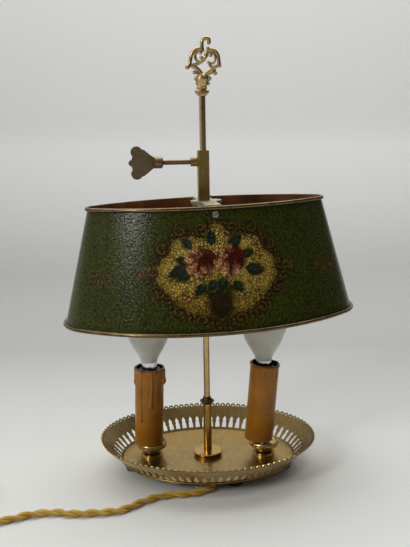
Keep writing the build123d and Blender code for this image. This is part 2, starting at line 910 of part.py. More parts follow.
terminal_screw_radius = 2.1
terminal_screw_head = 1.2
with BuildPart() as terminal_screws:
    with BuildSketch(front_plane(0, block_front, terminal_heights)):
        with Locations(*[(x, 0) for x in terminal_spots]):
            Circle(terminal_screw_radius)
    extrude(amount=terminal_screw_head)
    with BuildSketch(front_plane(0, block_front - terminal_screw_head, terminal_heights)):
        with Locations(*[(x, 0) for x in terminal_spots]):
            Rectangle(5, 0.6, rotation=40)
    extrude(amount=-0.5, mode=Mode.SUBTRACT)
keep(terminal_screws, "terminal_screws")

# Half-loop of strap round the cord, with one leg screwed to the plate
clip_width = 6.0
clip_thickness = 0.9
clip_centre = (7.7, 6.4)
clip_bore = cord_radius + 0.7
clip_leg_end = -3.0
with BuildPart() as cord_clip:
    with BuildSketch(front_plane(0, clip_spot[1] + clip_width / 2, 0)):
        with Locations(clip_centre):
            Circle(clip_bore + clip_thickness)
        with Locations((clip_centre[0], (clip_centre[1] + foot_height) / 2)):
            Rectangle(2 * (clip_bore + clip_thickness), foot_height - clip_centre[1])
        with Locations(((clip_leg_end + clip_centre[0]) / 2, foot_height - clip_thickness / 2)):
            Rectangle(clip_centre[0] - clip_leg_end, clip_thickness)
        with Locations(clip_centre):
            Circle(clip_bore, mode=Mode.SUBTRACT)
        with Locations((clip_centre[0], clip_centre[1] + foot_height / 2)):
            Rectangle(2 * clip_bore, foot_height, mode=Mode.SUBTRACT)
        with Locations((clip_centre[0], foot_height + 5)):
            Rectangle(30, 10, mode=Mode.SUBTRACT)
    extrude(amount=clip_width)
    with BuildSketch(Plane.XY.offset(foot_height - clip_thickness)):
        with Locations(clip_spot):
            Circle(clip_screw_radius)
    extrude(amount=clip_thickness, mode=Mode.SUBTRACT)
keep(cord_clip, "cord_clip")

with BuildPart() as clip_screw:
    with BuildSketch(Plane.XY.offset(foot_height - clip_thickness)):
        with Locations(clip_spot):
            Circle(2.4)
    extrude(amount=-1.9)
    with BuildSketch(Plane.XY.offset(foot_height - clip_thickness)):
        with Locations(clip_spot):
            Circle(clip_screw_radius)
    extrude(amount=clip_thickness + plate_thickness)
keep(clip_screw, "clip_screw")

# Two short supply leads turn back from the cord's end into the rear of the block
with BuildPart() as supply_leads:
    for sideways, loop_y in ((-1.25, -15.4), (1.25, -13.0)):
        lead_x = cord_route[0][0] + sideways
        back_x = -6.0 - sideways
        round_along(
            [
                (lead_x, cord_route[0][1], 7.2),
                (lead_x + 0.3, loop_y, 7.0),
                (back_x, loop_y, 7.0),
                (back_x, block_rear, 6.6),
            ],
            lead_radius,
        )
keep(supply_leads, "supply_leads")

contact_bottom = holder_bottom + holder_seat
wire_routes = {
    "left": [
        (block_left, -46.0, 5.0),
        (-36.0, -42.5, 2.6),
        (-light_offset, -15.0, 2.0),
        (-light_offset, 0, 2.0),
        (-light_offset, 0, contact_bottom),
    ],
    "right": [
        (-3.0, block_rear, 4.2),
        (-3.0, -17.0, 2.2),
        (22.0, -15.6, 2.0),
        (light_offset, -14.0, 2.0),
        (light_offset, 0, 2.0),
        (light_offset, 0, contact_bottom),
    ],
}
for side, wire_route in wire_routes.items():
    with BuildPart() as wire:
        round_along(wire_route, wire_radius)
    keep(wire, "wire_" + side)


# ---------------------------------------------------------------- cord, coil and plug
with BuildPart() as cord_lead:
    lead_length = round_along(cord_route, cord_radius)
keep(cord_lead, "cord_lead")

with BuildPart() as cord_tail:
    tail_length = round_along(tail_route, cord_radius)
keep(cord_tail, "cord_tail")

with BuildPart() as cord_coil:
    with BuildSketch(front_plane(*coil_centre, 0)):
        with Locations((coil_mid_radius, coil_bottom + coil_height / 2)):
            RectangleRounded(2 * coil_half_width, coil_height, cord_radius)
    revolve(axis=Axis((*coil_centre, 0), (0, 0, 1)))
    add(cord_lead.part, mode=Mode.SUBTRACT)
    add(cord_tail.part, mode=Mode.SUBTRACT)
keep(cord_coil, "cord_coil")

for route_name, route, route_length, tube in (
    ("lead", cord_route, lead_length, cord_lead),
    ("tail", tail_route, tail_length, cord_tail),
):
    bends = [round(r / 2 / cord_radius, 1) for r in bend_radii(route)]
    expected = math.pi * cord_radius**2 * route_length
    filled = round(tube.part.volume / expected, 5)
    print(route_name, "bend radii in diameters:", bends)
    print(route_name, "length", round(route_length, 1), "volume ratio", filled)

plug_start = tail_route[-1]
plug_axis_z = plug_thickness / 2
with BuildPart() as plug_body:
    with BuildSketch(rear_plane(plug_start[0], plug_start[1], plug_axis_z)):
        Circle(cord_radius + 1.0)
    with BuildSketch(rear_plane(plug_start[0], plug_start[1] + plug_nose_length, plug_axis_z)):
        Circle(cord_radius + 2.4)
    loft()
    with BuildSketch(Plane(origin=(plug_start[0], plug_start[1] + plug_nose_length, 0))):
        with BuildLine():
            Polyline(
                (-9.0, 0),
                (9.0, 0),
                (plug_width / 2 - 3, 9),
                (plug_width / 2, plug_length - 8),
                (plug_width / 2, plug_length),
                (-plug_width / 2, plug_length),
                (-plug_width / 2, plug_length - 8),
                (-plug_width / 2 + 3, 9),
                close=True,
            )
        make_face()
    extrude(amount=plug_thickness)
keep(plug_body, "plug_body")

plug_face = plug_start[1] + plug_nose_length + plug_length
with BuildPart() as plug_pins:
    with BuildSketch(rear_plane(plug_start[0], plug_face, plug_axis_z)):
        with Locations((-pin_spacing / 2, 0), (pin_spacing / 2, 0)):
            Circle(pin_radius)
    extrude(amount=pin_length)
keep(plug_pins, "plug_pins")
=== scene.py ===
"""Bouillotte lamp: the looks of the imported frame, in metres and in the frame's own axes."""

import math
import random

import bpy
import numpy as np
from mathutils import Matrix, Vector


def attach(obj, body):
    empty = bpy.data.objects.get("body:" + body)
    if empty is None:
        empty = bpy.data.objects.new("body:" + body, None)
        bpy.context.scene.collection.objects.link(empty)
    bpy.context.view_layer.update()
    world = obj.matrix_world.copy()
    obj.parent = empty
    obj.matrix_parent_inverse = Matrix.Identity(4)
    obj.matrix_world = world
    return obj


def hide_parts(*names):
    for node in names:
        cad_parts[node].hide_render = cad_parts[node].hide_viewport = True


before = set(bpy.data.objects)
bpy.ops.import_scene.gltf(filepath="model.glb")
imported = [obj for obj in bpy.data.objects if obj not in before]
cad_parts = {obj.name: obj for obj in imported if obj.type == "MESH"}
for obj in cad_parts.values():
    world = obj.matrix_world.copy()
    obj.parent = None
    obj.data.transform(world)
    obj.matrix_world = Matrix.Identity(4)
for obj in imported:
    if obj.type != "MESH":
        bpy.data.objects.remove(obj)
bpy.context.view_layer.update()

MM = 0.001


# ---- camera
# Straight in front of the stem, looking a little down; angles in degrees, lens and sensor in mm
CAMERA_DISTANCE = 0.6748
CAMERA_HEIGHT = 0.3233
CAMERA_PITCH = 11.0
CAMERA_ROLL = -0.95
CAMERA_LENS = 48.4
CAMERA_SENSOR = 36.0

camera_data = bpy.data.cameras.new("camera")
camera_data.lens = CAMERA_LENS
camera_data.sensor_width = CAMERA_SENSOR
camera_data.sensor_fit = "AUTO"
camera = bpy.data.objects.new("camera", camera_data)
camera.matrix_world = (
    Matrix.Translation((0.0, -CAMERA_DISTANCE, CAMERA_HEIGHT))
    @ Matrix.Rotation(math.radians(90.0 - CAMERA_PITCH), 4, "X")
    @ Matrix.Rotation(math.radians(CAMERA_ROLL), 4, "Z")
)
bpy.context.scene.collection.objects.link(camera)
bpy.context.scene.camera = camera
bpy.context.scene.view_settings.view_transform = "Standard"


# ---- materials
# A mix node keeps its sockets for colours behind those for numbers and vectors
MIX_FIRST_COLOUR = 6
MIX_SECOND_COLOUR = 7
MIX_COLOUR_OUT = 2


class Look:
    """A material's node tree, with short calls for the nodes that the looks share."""

    def __init__(self, name):
        self.material = bpy.data.materials.new(name)
        self.material.use_nodes = True
        self.tree = self.material.node_tree
        self.shader = self.tree.nodes["Principled BSDF"]
        self.place = self.node("TexCoord").outputs["Object"]

    def node(self, kind, *sources, **named):
        """A new node, its inputs joined in order or by name. Names in lower case are its own settings."""
        node = self.tree.nodes.new("ShaderNode" + kind)
        for key, value in named.items():
            if key.islower():
                setattr(node, key, value)
            else:
                self.join(value, node.inputs[key])
        for source, target in zip(sources, node.inputs):
            self.join(source, target)
        return node

    def join(self, source, target):
        """Link an output, or set a plain value."""
        if isinstance(source, bpy.types.NodeSocket):
            self.tree.links.new(source, target)
        elif isinstance(source, tuple) and len(source) == 3 and target.type == "RGBA":
            target.default_value = (*source, 1.0)
        else:
            target.default_value = source

    def set(self, **values):
        """Set the surface's own inputs, with underscores for spaces."""
        for key, value in values.items():
            self.join(value, self.shader.inputs[key.replace("_", " ")])

    def stretch(self, scale):
        """The object's own position, scaled on each axis."""
        return self.node("Mapping", Vector=self.place, Scale=scale).outputs["Vector"]

    def noise(self, scale, detail=4.0, rough=0.55, place=None):
        """Cloudy values round 0.5. A greater scale makes smaller clouds."""
        node = self.node("TexNoise", Vector=place or self.place, Scale=scale, Detail=detail, Roughness=rough)
        return node.outputs["Fac"]

    def crazing(self, scale, place):
        """Distance from the nearest crack of a net of cracks."""
        node = self.node("TexVoronoi", feature="DISTANCE_TO_EDGE", Vector=place, Scale=scale)
        return node.outputs["Distance"]

    def jitter(self, scale, reach):
        """The object's own position, pushed about by a noise, so that patterns don't look ruled."""
        push = self.node("TexNoise", Vector=self.place, Scale=scale).outputs["Color"]
        return self.node("VectorMath", push, (reach,) * 3, self.place, operation="MULTIPLY_ADD").outputs[0]

    def ramp(self, source, *stops):
        """A ramp of (position, colour) stops, where a plain number stands for a grey."""
        node = self.node("ValToRGB", source)
        band = node.color_ramp
        while len(band.elements) < len(stops):
            band.elements.new(0.5)
        for element, (position, colour) in zip(band.elements, stops):
            element.position = position
            element.color = (*colour, 1.0) if isinstance(colour, tuple) else (*[colour] * 3, 1.0)
        return node.outputs["Color"]

    def mix(self, amount, first, second, blend="MIX"):
        """The first colour where amount is 0, the second blended in where it is 1."""
        node = self.node("Mix", amount, data_type="RGBA", blend_type=blend)
        self.join(first, node.inputs[MIX_FIRST_COLOUR])
        self.join(second, node.inputs[MIX_SECOND_COLOUR])
        return node.outputs[MIX_COLOUR_OUT]

    def maths(self, operation, *values):
        return self.node("Math", *values, operation=operation).outputs[0]

    def about_half(self, source, scale):
        """A signed value, scaled, with its zero at 0.5, for use in a ramp or a mix."""
        return self.maths("MULTIPLY_ADD", source, scale, 0.5)

    def attribute(self, name, output="Fac"):
        """A value or a colour stored on the mesh's points."""
        return self.node("Attribute", attribute_name=name).outputs[output]

    def axis(self, letter):
        """The object's own X, Y or Z position, in metres."""
        return self.node("SeparateXYZ", self.place).outputs[letter]

    def recess(self, reach):
        """1 in grooves and corners, 0 on open faces, looking as far as reach."""
        node = self.node("AmbientOcclusion", samples=8, only_local=True, Distance=reach)
        return self.ramp(node.outputs["AO"], (0.45, 1.0), (0.9, 0.0))

    def inward(self):
        """1 on faces that look towards the object's own upright axis, 0 on those that look away."""
        normal = self.node("NewGeometry").outputs["Normal"]
        facing = self.node("VectorMath", normal, self.stretch((1.0, 1.0, 0.0)), operation="DOT_PRODUCT")
        return self.ramp(self.about_half(facing.outputs["Value"], 10.0), (0.35, 1.0), (0.65, 0.0))

    def bump(self, height, strength, depth):
        """Roughen the surface, with depth in metres."""
        node = self.node("Bump", Strength=strength, Distance=depth, Height=height)
        self.join(node.outputs["Normal"], self.shader.inputs["Normal"])


def srgb(red, green, blue):
    """A colour given as it looks on screen, 0 to 255, as the linear value that Blender takes."""
    shares = (red / 255, green / 255, blue / 255)
    return tuple(c / 12.92 if c <= 0.04045 else ((c + 0.055) / 1.055) ** 2.4 for c in shares)


# ---- stage and light
STAGE_HALF = 1.6
STAGE_BACK = 1.3
STAGE_RISE = 1.6
STAGE_CURVE = 0.35
STAGE_CURVE_STEPS = 12
# Painted light and shade on the stage: the floor is painted lighter towards the front and the wall lighter
# up high. The wall's colour comes in over this height, the floor's front colour over this depth about the
# lamp
STAGE_FADE = 0.28
STAGE_DEPTH = 0.8
STAGE_FLOOR = srgb(174, 174, 171)
STAGE_FRONT = srgb(246, 246, 241)
STAGE_WALL = srgb(240, 240, 239)
# Painted shade at the left: the stage's brightness there, which rises to 1 over this width about the lamp
STAGE_LEFT_SHADE = 0.84
STAGE_WIDE = 1.1


def new_mesh(name, verts, faces, look):
    """A smooth mesh object, put in the scene."""
    mesh = bpy.data.meshes.new(name)
    mesh.from_pydata(verts, [], faces)
    mesh.update()
    mesh.polygons.foreach_set("use_smooth", [True] * len(faces))
    mesh.materials.append(look.material)
    piece = bpy.data.objects.new(name, mesh)
    bpy.context.scene.collection.objects.link(piece)
    return piece


def make_stage():
    """A pale floor that curves up into a backdrop, painted lighter in front and up the wall and darker to
    the left, as painted light and shade.
    """
    bend = STAGE_BACK - STAGE_CURVE
    profile = [(-STAGE_HALF, 0.0), (bend, 0.0)]
    for step in range(1, STAGE_CURVE_STEPS + 1):
        turn = math.radians(90 * step / STAGE_CURVE_STEPS)
        profile.append((bend + STAGE_CURVE * math.sin(turn), STAGE_CURVE * (1 - math.cos(turn))))
    profile.append((STAGE_BACK, STAGE_RISE))
    verts = [(x, y, z) for y, z in profile for x in (-STAGE_HALF, STAGE_HALF)]
    faces = [(2 * i, 2 * i + 1, 2 * i + 3, 2 * i + 2) for i in range(len(profile) - 1)]
    look = Look("stage")
    rise = look.maths("MULTIPLY", look.axis("Z"), 1.0 / STAGE_FADE)
    forward = look.about_half(look.axis("Y"), -1.0 / STAGE_DEPTH)
    rightward = look.about_half(look.axis("X"), 1.0 / STAGE_WIDE)
    surface = look.mix(rise, look.mix(forward, STAGE_FLOOR, STAGE_FRONT), STAGE_WALL)
    surface = look.mix(1.0, surface, look.ramp(rightward, (0.0, STAGE_LEFT_SHADE), (1.0, 1.0)), blend="MULTIPLY")
    look.set(Base_Color=surface, Roughness=0.9, Specular_IOR_Level=0.1)
    stage = new_mesh("stage", verts, faces, look)


make_stage()


# Name, place, spot it points at and size, in metres, then power in watts
LAMPS = (
    ("window_lamp", (-1.44, -1.42, 1.26), (0.0, 0.0, 0.22), (0.30, 0.62), 13.0),
    ("side_lamp", (-1.55, -1.10, 1.55), (0.0, 0.0, 0.15), (1.3, 1.2), 5.0),
    ("ceiling_lamp", (-0.10, 0.65, 1.60), (0.0, 0.30, 0.0), (2.2, 1.3), 24.0),
)
# The room's own light: grey levels, and where along the axis to its light side they are reached
ROOM_DARK = 0.06
ROOM_LIGHT = 0.62
ROOM_SEEN = 0.60
ROOM_LIGHT_SIDE = (-0.45, 0.55, 0.70)
ROOM_DARK_FROM = -0.35
ROOM_LIGHT_FROM = 0.8


def area_lamp(name, place, aim, size, power):
    """A soft rectangular lamp that points at a spot."""
    data = bpy.data.lights.new(name, "AREA")
    data.shape = "RECTANGLE"
    data.size = size[0]
    data.size_y = size[1]
    data.energy = power
    lamp = bpy.data.objects.new(name, data)
    lamp.location = place
    lamp.rotation_euler = (Vector(aim) - Vector(place)).to_track_quat("-Z", "Y").to_euler()
    bpy.context.scene.collection.objects.link(lamp)


def light_the_room():
    """A room that is light above, behind and to the left, and dark in front and to the right.

    Where the camera looks past the stage it sees a plain pale wall.
    """
    world = bpy.data.worlds.new("studio")
    world.use_nodes = True
    bpy.context.scene.world = world
    nodes = world.node_tree.nodes
    links = world.node_tree.links
    sky = nodes["Background"]
    sky.inputs["Strength"].default_value = 1.0
    facing = nodes.new("ShaderNodeTexCoord").outputs["Generated"]
    along = nodes.new("ShaderNodeVectorMath")
    along.operation = "DOT_PRODUCT"
    along.inputs[1].default_value = ROOM_LIGHT_SIDE
    links.new(facing, along.inputs[0])
    band = nodes.new("ShaderNodeMapRange")
    band.inputs["From Min"].default_value = ROOM_DARK_FROM
    band.inputs["From Max"].default_value = ROOM_LIGHT_FROM
    band.inputs["To Min"].default_value = ROOM_DARK
    band.inputs["To Max"].default_value = ROOM_LIGHT
    links.new(along.outputs["Value"], band.inputs["Value"])
    seen = nodes.new("ShaderNodeMix")
    links.new(nodes.new("ShaderNodeLightPath").outputs["Is Camera Ray"], seen.inputs["Factor"])
    links.new(band.outputs["Result"], seen.inputs["A"])
    seen.inputs["B"].default_value = ROOM_SEEN
    links.new(seen.outputs["Result"], sky.inputs["Color"])


for lamp_values in LAMPS:
    area_lamp(*lamp_values)
light_the_room()


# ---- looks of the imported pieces
def aged_brass(
    name, bright, mid, dark, rough=(0.22, 0.5), scale=1.0, patina=0.5, patina_and_shade=0.003, drawn=None, inside=0.0
):
    """Old brass: brighter where it is rubbed, browned in spots, and darker in its grooves with patina and
    painted shade.

    The colours are what the metal reflects, from 0 to 1. patina_and_shade is the width of the grooves that
    are darkened, in metres, partly with patina and partly as painted shade. drawn stretches the grain, as on
    a drawn rod or a brushed plate. inside is how far the faces that look inwards are painted darker,
    as painted shade and a painted reflection of the shade's dark underside.
    """
    look = Look(name)
    clouds = look.noise(38 * scale, detail=6, rough=0.6)
    spots = look.noise(260 * scale, detail=3, rough=0.7)
    if drawn:
        fine = look.noise(900, detail=3, place=look.stretch(drawn))
    else:
        fine = look.noise(1100 * scale, detail=2)
    body = look.ramp(clouds, (0.30, mid), (0.52, bright), (0.72, mid))
    body = look.mix(look.ramp(spots, (0.50, 0.0), (0.72, patina)), body, dark)
    rub = look.maths("MULTIPLY", look.ramp(fine, (0.35, 0.0), (0.75, 1.0)), 0.25)
    body = look.mix(rub, body, dark)
    # Patina and painted shade in the grooves and corners
    body = look.mix(look.recess(patina_and_shade), body, dark)
    # Faces that look inwards are painted darker, as painted shade and a painted reflection of the shade's
    # dark underside
    if inside:
        body = look.mix(look.maths("MULTIPLY", look.inward(), inside), body, dark)
    roughness = look.ramp(look.mix(0.5, clouds, spots), (0.25, rough[0]), (0.75, rough[1]))
    look.set(Base_Color=body, Metallic=1.0, Roughness=roughness)
    look.bump(look.mix(0.35, clouds, fine), 0.15, 0.0004)
    return look


def dress(node, look):
    """Give a CAD node its material."""
    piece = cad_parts[node]
    piece.data.materials.clear()
    piece.data.materials.append(look.material)


# Each metal's bright, middle and dark colour, and how it has worn
METALS = {
    "tray_brass": (
        (0.40, 0.28, 0.105), (0.31, 0.215, 0.075), (0.17, 0.11, 0.035),
        dict(rough=(0.22, 0.38), drawn=(0.08, 1.0, 1.0), patina_and_shade=0.006),
    ),
    # Its inward faces are painted darker, as painted shade
    "gallery_brass": (
        (0.67, 0.485, 0.205), (0.51, 0.36, 0.135), (0.10, 0.065, 0.02),
        dict(rough=(0.26, 0.46), scale=1.3, patina_and_shade=0.004, inside=0.68),
    ),
    "turned_brass": (
        (0.62, 0.41, 0.12), (0.48, 0.30, 0.075), (0.20, 0.10, 0.02),
        dict(rough=(0.14, 0.30), patina=0.35),
    ),
    "rod_brass": (
        (0.72, 0.56, 0.27), (0.56, 0.42, 0.18), (0.20, 0.13, 0.045),
        dict(rough=(0.14, 0.30), scale=1.6, patina=0.45, drawn=(1.0, 1.0, 0.05)),
    ),
    "cast_brass": (
        (0.64, 0.46, 0.22), (0.38, 0.25, 0.10), (0.04, 0.023, 0.009),
        dict(rough=(0.18, 0.40), scale=2.2, patina=0.6, patina_and_shade=0.005),
    ),
    # Its wide groove reach paints shade on the neck under the lip
    "cup_brass": (
        (0.66, 0.49, 0.21), (0.40, 0.27, 0.09), (0.09, 0.05, 0.015),
        dict(rough=(0.10, 0.26), patina=0.3, patina_and_shade=0.012),
    ),
    "bridge_brass": (
        (0.46, 0.41, 0.31), (0.30, 0.25, 0.17), (0.12, 0.08, 0.035),
        dict(rough=(0.45, 0.7), scale=2.5),
    ),
    "sleeve_brass": (
        (0.36, 0.255, 0.085), (0.27, 0.185, 0.055), (0.12, 0.075, 0.02),
        dict(rough=(0.36, 0.5), drawn=(1.0, 1.0, 0.08)),
    ),
    "rim_bronze": (
        (0.18, 0.125, 0.06), (0.075, 0.05, 0.022), (0.04, 0.026, 0.012),
        dict(rough=(0.14, 0.32), scale=1.6),
    ),
    "key_bronze": (
        (0.27, 0.20, 0.115), (0.19, 0.14, 0.075), (0.08, 0.055, 0.028),
        dict(rough=(0.32, 0.52), scale=1.8),
    ),
    "dark_brass": (
        (0.09, 0.065, 0.04), (0.045, 0.033, 0.022), (0.015, 0.011, 0.008),
        dict(rough=(0.3, 0.55), scale=2.0),
    ),
    "steel": (
        (0.62, 0.61, 0.56), (0.42, 0.41, 0.37), (0.08, 0.075, 0.065),
        dict(rough=(0.28, 0.5), scale=1.5, patina=0.4, patina_and_shade=0.001),
    ),
    "bulb_metal": (
        (0.70, 0.70, 0.69), (0.56, 0.56, 0.55), (0.25, 0.24, 0.22),
        dict(rough=(0.14, 0.3), patina=0.15, patina_and_shade=0.001),
    ),
}
LOOKS = {}
for metal, (bright, mid, dark, wear) in METALS.items():
    LOOKS[metal] = aged_brass(metal, bright, mid, dark, **wear)

# Under the shade the rod is painted darker brown, as painted shade: most below the first of these heights,
# not at all above the second
ROD_SHADED_BELOW = 0.15
ROD_LIT_ABOVE = 0.22
ROD_SHADE_COLOUR = (0.27, 0.165, 0.07)
rod_brass = LOOKS["rod_brass"]
rod_shade_mask = rod_brass.ramp(rod_brass.axis("Z"), (ROD_SHADED_BELOW, 0.6), (ROD_LIT_ABOVE, 0.0))
rod_own_colour = rod_brass.shader.inputs["Base Color"].links[0].from_socket
rod_brass.set(Base_Color=rod_brass.mix(rod_shade_mask, rod_own_colour, ROD_SHADE_COLOUR))


def moulded(name, colour, rough, grain):
    """A moulded plastic or rubber, a little uneven in colour and shine."""
    look = Look(name)
    darker = tuple(0.72 * c for c in colour)
    look.set(
        Base_Color=look.ramp(look.noise(120), (0.3, darker), (0.7, colour)),
        Roughness=look.ramp(look.noise(300), (0.3, rough - 0.08), (0.7, rough + 0.08)),
    )
    look.bump(look.noise(1400, detail=2), grain, 0.0002)
    return look


for plastic, colour, rough, grain in (
    ("foot_rubber", (0.022, 0.022, 0.022), 0.7, 0.3),
    ("holder_black", (0.03, 0.03, 0.03), 0.4, 0.1),
    ("block_plastic", (0.70, 0.70, 0.64), 0.5, 0.1),
    ("wire_sheath", (0.52, 0.48, 0.38), 0.45, 0.1),
    ("plug_brown", (0.085, 0.045, 0.022), 0.38, 0.1),
):
    LOOKS[plastic] = moulded(plastic, colour, rough, grain)

# The bulbs' white is painted greyer than white plastic, as painted shade from the shade over them
bulb_white = Look("bulb_white")
bulb_white.set(
    Base_Color=bulb_white.ramp(bulb_white.noise(60), (0.3, srgb(184, 182, 173)), (0.7, srgb(195, 193, 184))),
    Roughness=0.28,
    Subsurface_Weight=0.25,
    Subsurface_Radius=(0.006, 0.006, 0.006),
)
LOOKS["bulb_white"] = bulb_white

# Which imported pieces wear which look. The candle sleeves, shade sheet and cord are made anew below.
WEARERS = {
    "tray_brass": "tray_floor",
    "gallery_brass": "tray_gallery",
    "turned_brass": "stem_flange stem_tube clamp_pad holder_contact_left holder_contact_right",
    "dark_brass": "stem_collar",
    "rod_brass": "upper_rod",
    "cast_brass": "finial",
    "cup_brass": "cup_left cup_right",
    "bridge_brass": "shade_bridge",
    "sleeve_brass": "slide_sleeve",
    "key_bronze": "shade_key",
    "rim_bronze": "shade_rim_top shade_rim_bottom",
    "steel": "stem_washer stem_nut light_nuts light_tube_left light_tube_right"
    " bridge_screws terminal_screws cord_clip clip_screw",
    "bulb_metal": "bulb_cap_left bulb_cap_right plug_pins",
    "bulb_white": "bulb_globe_left bulb_globe_right",
    "foot_rubber": "foot_left foot_right foot_front foot_rear",
    "holder_black": "holder_left holder_right",
    "block_plastic": "terminal_block",
    "wire_sheath": "supply_leads wire_left wire_right",
    "plug_brown": "plug_body",
}
for worn, wearers in WEARERS.items():
    for wearer in wearers.split():
        dress(wearer, LOOKS[worn])


# ---- helpers for new pieces
def make_piece(name, verts, faces, look, body):
    """A new piece that rides on a body."""
    piece = new_mesh(name, verts, faces, look)
    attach(piece, body)
    return piece


def store(piece, name, values):
    """Keep a value for each point of the mesh, for Look.attribute."""
    piece.data.attributes.new(name, "FLOAT", "POINT").data.foreach_set("value", values)


def ring_grid(columns, rows, first=0, closed=False):
    """Faces of a grid that goes round in each row. closed joins its last row to its first."""
    faces = []
    for row in range(rows if closed else rows - 1):
        low = first + row * columns
        high = first + (row + 1) % rows * columns
        for column in range(columns):
            after = (column + 1) % columns
            faces.append((low + column, low + after, high + after, high + column))
    return faces


# ---- candle sleeves
CANDLE_RADIUS = 0.01375
CANDLE_BORE = 0.01255
CANDLE_LENGTH = 0.076
CANDLE_COLUMNS = 144
CANDLE_ROWS = 96
LIGHT_OFFSET = 0.0547
# Each sleeve's foot (x, z) and its lean to the right, in degrees
CANDLE_PLACES = {
    "left": (-LIGHT_OFFSET - 0.0026, 0.02598, 2.0),
    "right": (LIGHT_OFFSET - 0.0050, 0.0286, 4.75),
}
# Wax runs: angle from the front, how far down from the top, half width and depth in mm
WAX_RUNS = {
    "left": (
        (-30, 50, 1.0, 1.3), (12, 35, 1.1, 1.4), (74, 13, 2.6, 2.3),
        (-82, 15, 1.8, 0.9), (135, 35, 1.2, 0.9), (205, 28, 1.3, 1.0),
    ),
    "right": (
        (52, 26, 1.1, 0.8), (-8, 9, 2.2, 1.0), (30, 8, 1.8, 1.0),
        (-60, 12, 2.0, 0.9), (150, 42, 1.2, 0.9), (230, 26, 1.3, 1.0),
    ),
}
# A run wanders to the sides as it goes down, and ends in a wider, thicker drop (mm)
RUN_WANDER = 0.42
RUN_WANDER_PITCH = 0.153
DROP_LENGTH = 4.0
DROP_WIDER = 1.25
DROP_SWELL = 0.35
DROP_BELLY = 1.5
# The lip of wax that hangs over the top edge (mm)
LIP_DROP = 2.4
LIP_DEPTH = 0.8
# The rounded top edge and the bore: radius and height over the side's top, in metres
RIM_ROUND = 0.0006
RIM_PROFILE = (
    (CANDLE_RADIUS + 0.0001, 0.0004), (CANDLE_RADIUS - 0.0008, 0.0006), (CANDLE_BORE - 0.0006, 0.0002),
    (CANDLE_BORE - 0.0010, -0.0010), (CANDLE_BORE - 0.0002, -0.004),
    (CANDLE_BORE, -0.02), (CANDLE_BORE, -0.0754),
)
# How many of these are still wax-coloured. The others, down the bore, are painted black as painted shade.
RIM_CLEAN_ROWS = 2
# The singe_and_bore_shade attribute: 0 is the bore's painted shade, RIM_CLEAN the top edge, and 1 clean wax
# this far down (mm)
RIM_CLEAN = 0.12
SINGE_REACH = 12.0


def wax_look():
    """Honey-coloured wax, singed and pale in spots near the top, and painted black in the bore as painted
    shade.
    """
    look = Look("candle_wax")
    plain_wax = look.attribute("singe_and_bore_shade")
    clouds = look.noise(70, detail=5)
    body = look.ramp(clouds, (0.25, srgb(136, 85, 8)), (0.55, srgb(154, 98, 12)), (0.8, srgb(168, 112, 20)))
    singed = look.maths("ADD", plain_wax, look.maths("MULTIPLY", look.noise(240), 0.5))
    body = look.mix(look.ramp(singed, (0.34, 0.70), (0.50, 0.0)), body, srgb(74, 44, 10))
    pale_spots = look.ramp(look.noise(150, detail=5), (0.56, 0.0), (0.70, 0.75))
    near_top = look.ramp(plain_wax, (0.05, 1.0), (0.42, 0.0))
    body = look.mix(look.maths("MULTIPLY", pale_spots, near_top), body, srgb(176, 146, 104))
    # The bore is painted near black, as painted shade
    body = look.mix(look.ramp(plain_wax, (0.02, 1.0), (0.11, 0.0)), body, srgb(20, 13, 7))
    specks = look.ramp(look.noise(900, detail=2), (0.45, 0.0), (0.8, 0.3))
    look.set(
        Base_Color=look.mix(specks, body, srgb(104, 62, 6)),
        Roughness=look.ramp(look.noise(220), (0.3, 0.24), (0.7, 0.40)),
        Specular_IOR_Level=look.ramp(plain_wax, (0.02, 0.0), (0.11, 0.3)),
        Subsurface_Weight=0.1,
        Subsurface_Radius=(0.004, 0.002, 0.0006),
    )
    look.bump(look.noise(420), 0.22, 0.0004)
    return look


def wax_depth(runs, angle, drop):
    """How far the wax stands out at an angle from the front and a drop from the top, in mm."""
    depth = 0.0
    for run_angle, run_drop, half_width, run_depth in runs:
        wander = RUN_WANDER * math.sin(RUN_WANDER_PITCH * drop + run_angle)
        turned = math.remainder(angle - math.radians(run_angle), 2 * math.pi)
        aside = (turned * CANDLE_RADIUS / MM - wander) / half_width
        if drop > run_drop - DROP_LENGTH:
            aside /= DROP_WIDER
        if drop > run_drop:
            aside = math.hypot(aside, (drop - run_drop) / half_width)
        if abs(aside) < 1:
            belly = max(0.0, 1 - abs(drop - run_drop + DROP_BELLY) / DROP_LENGTH)
            depth = max(depth, run_depth * (1 + DROP_SWELL * belly) * math.sqrt(1 - aside * aside))
    hang = LIP_DROP * (1 + 0.45 * math.sin(2 * angle + 0.6) + 0.35 * math.sin(5 * angle + len(runs)))
    lip = max(0.0, 1 - (drop / hang) ** 2)
    return max(depth, LIP_DEPTH * math.sqrt(lip) * (1 + 0.3 * math.sin(7 * angle)))


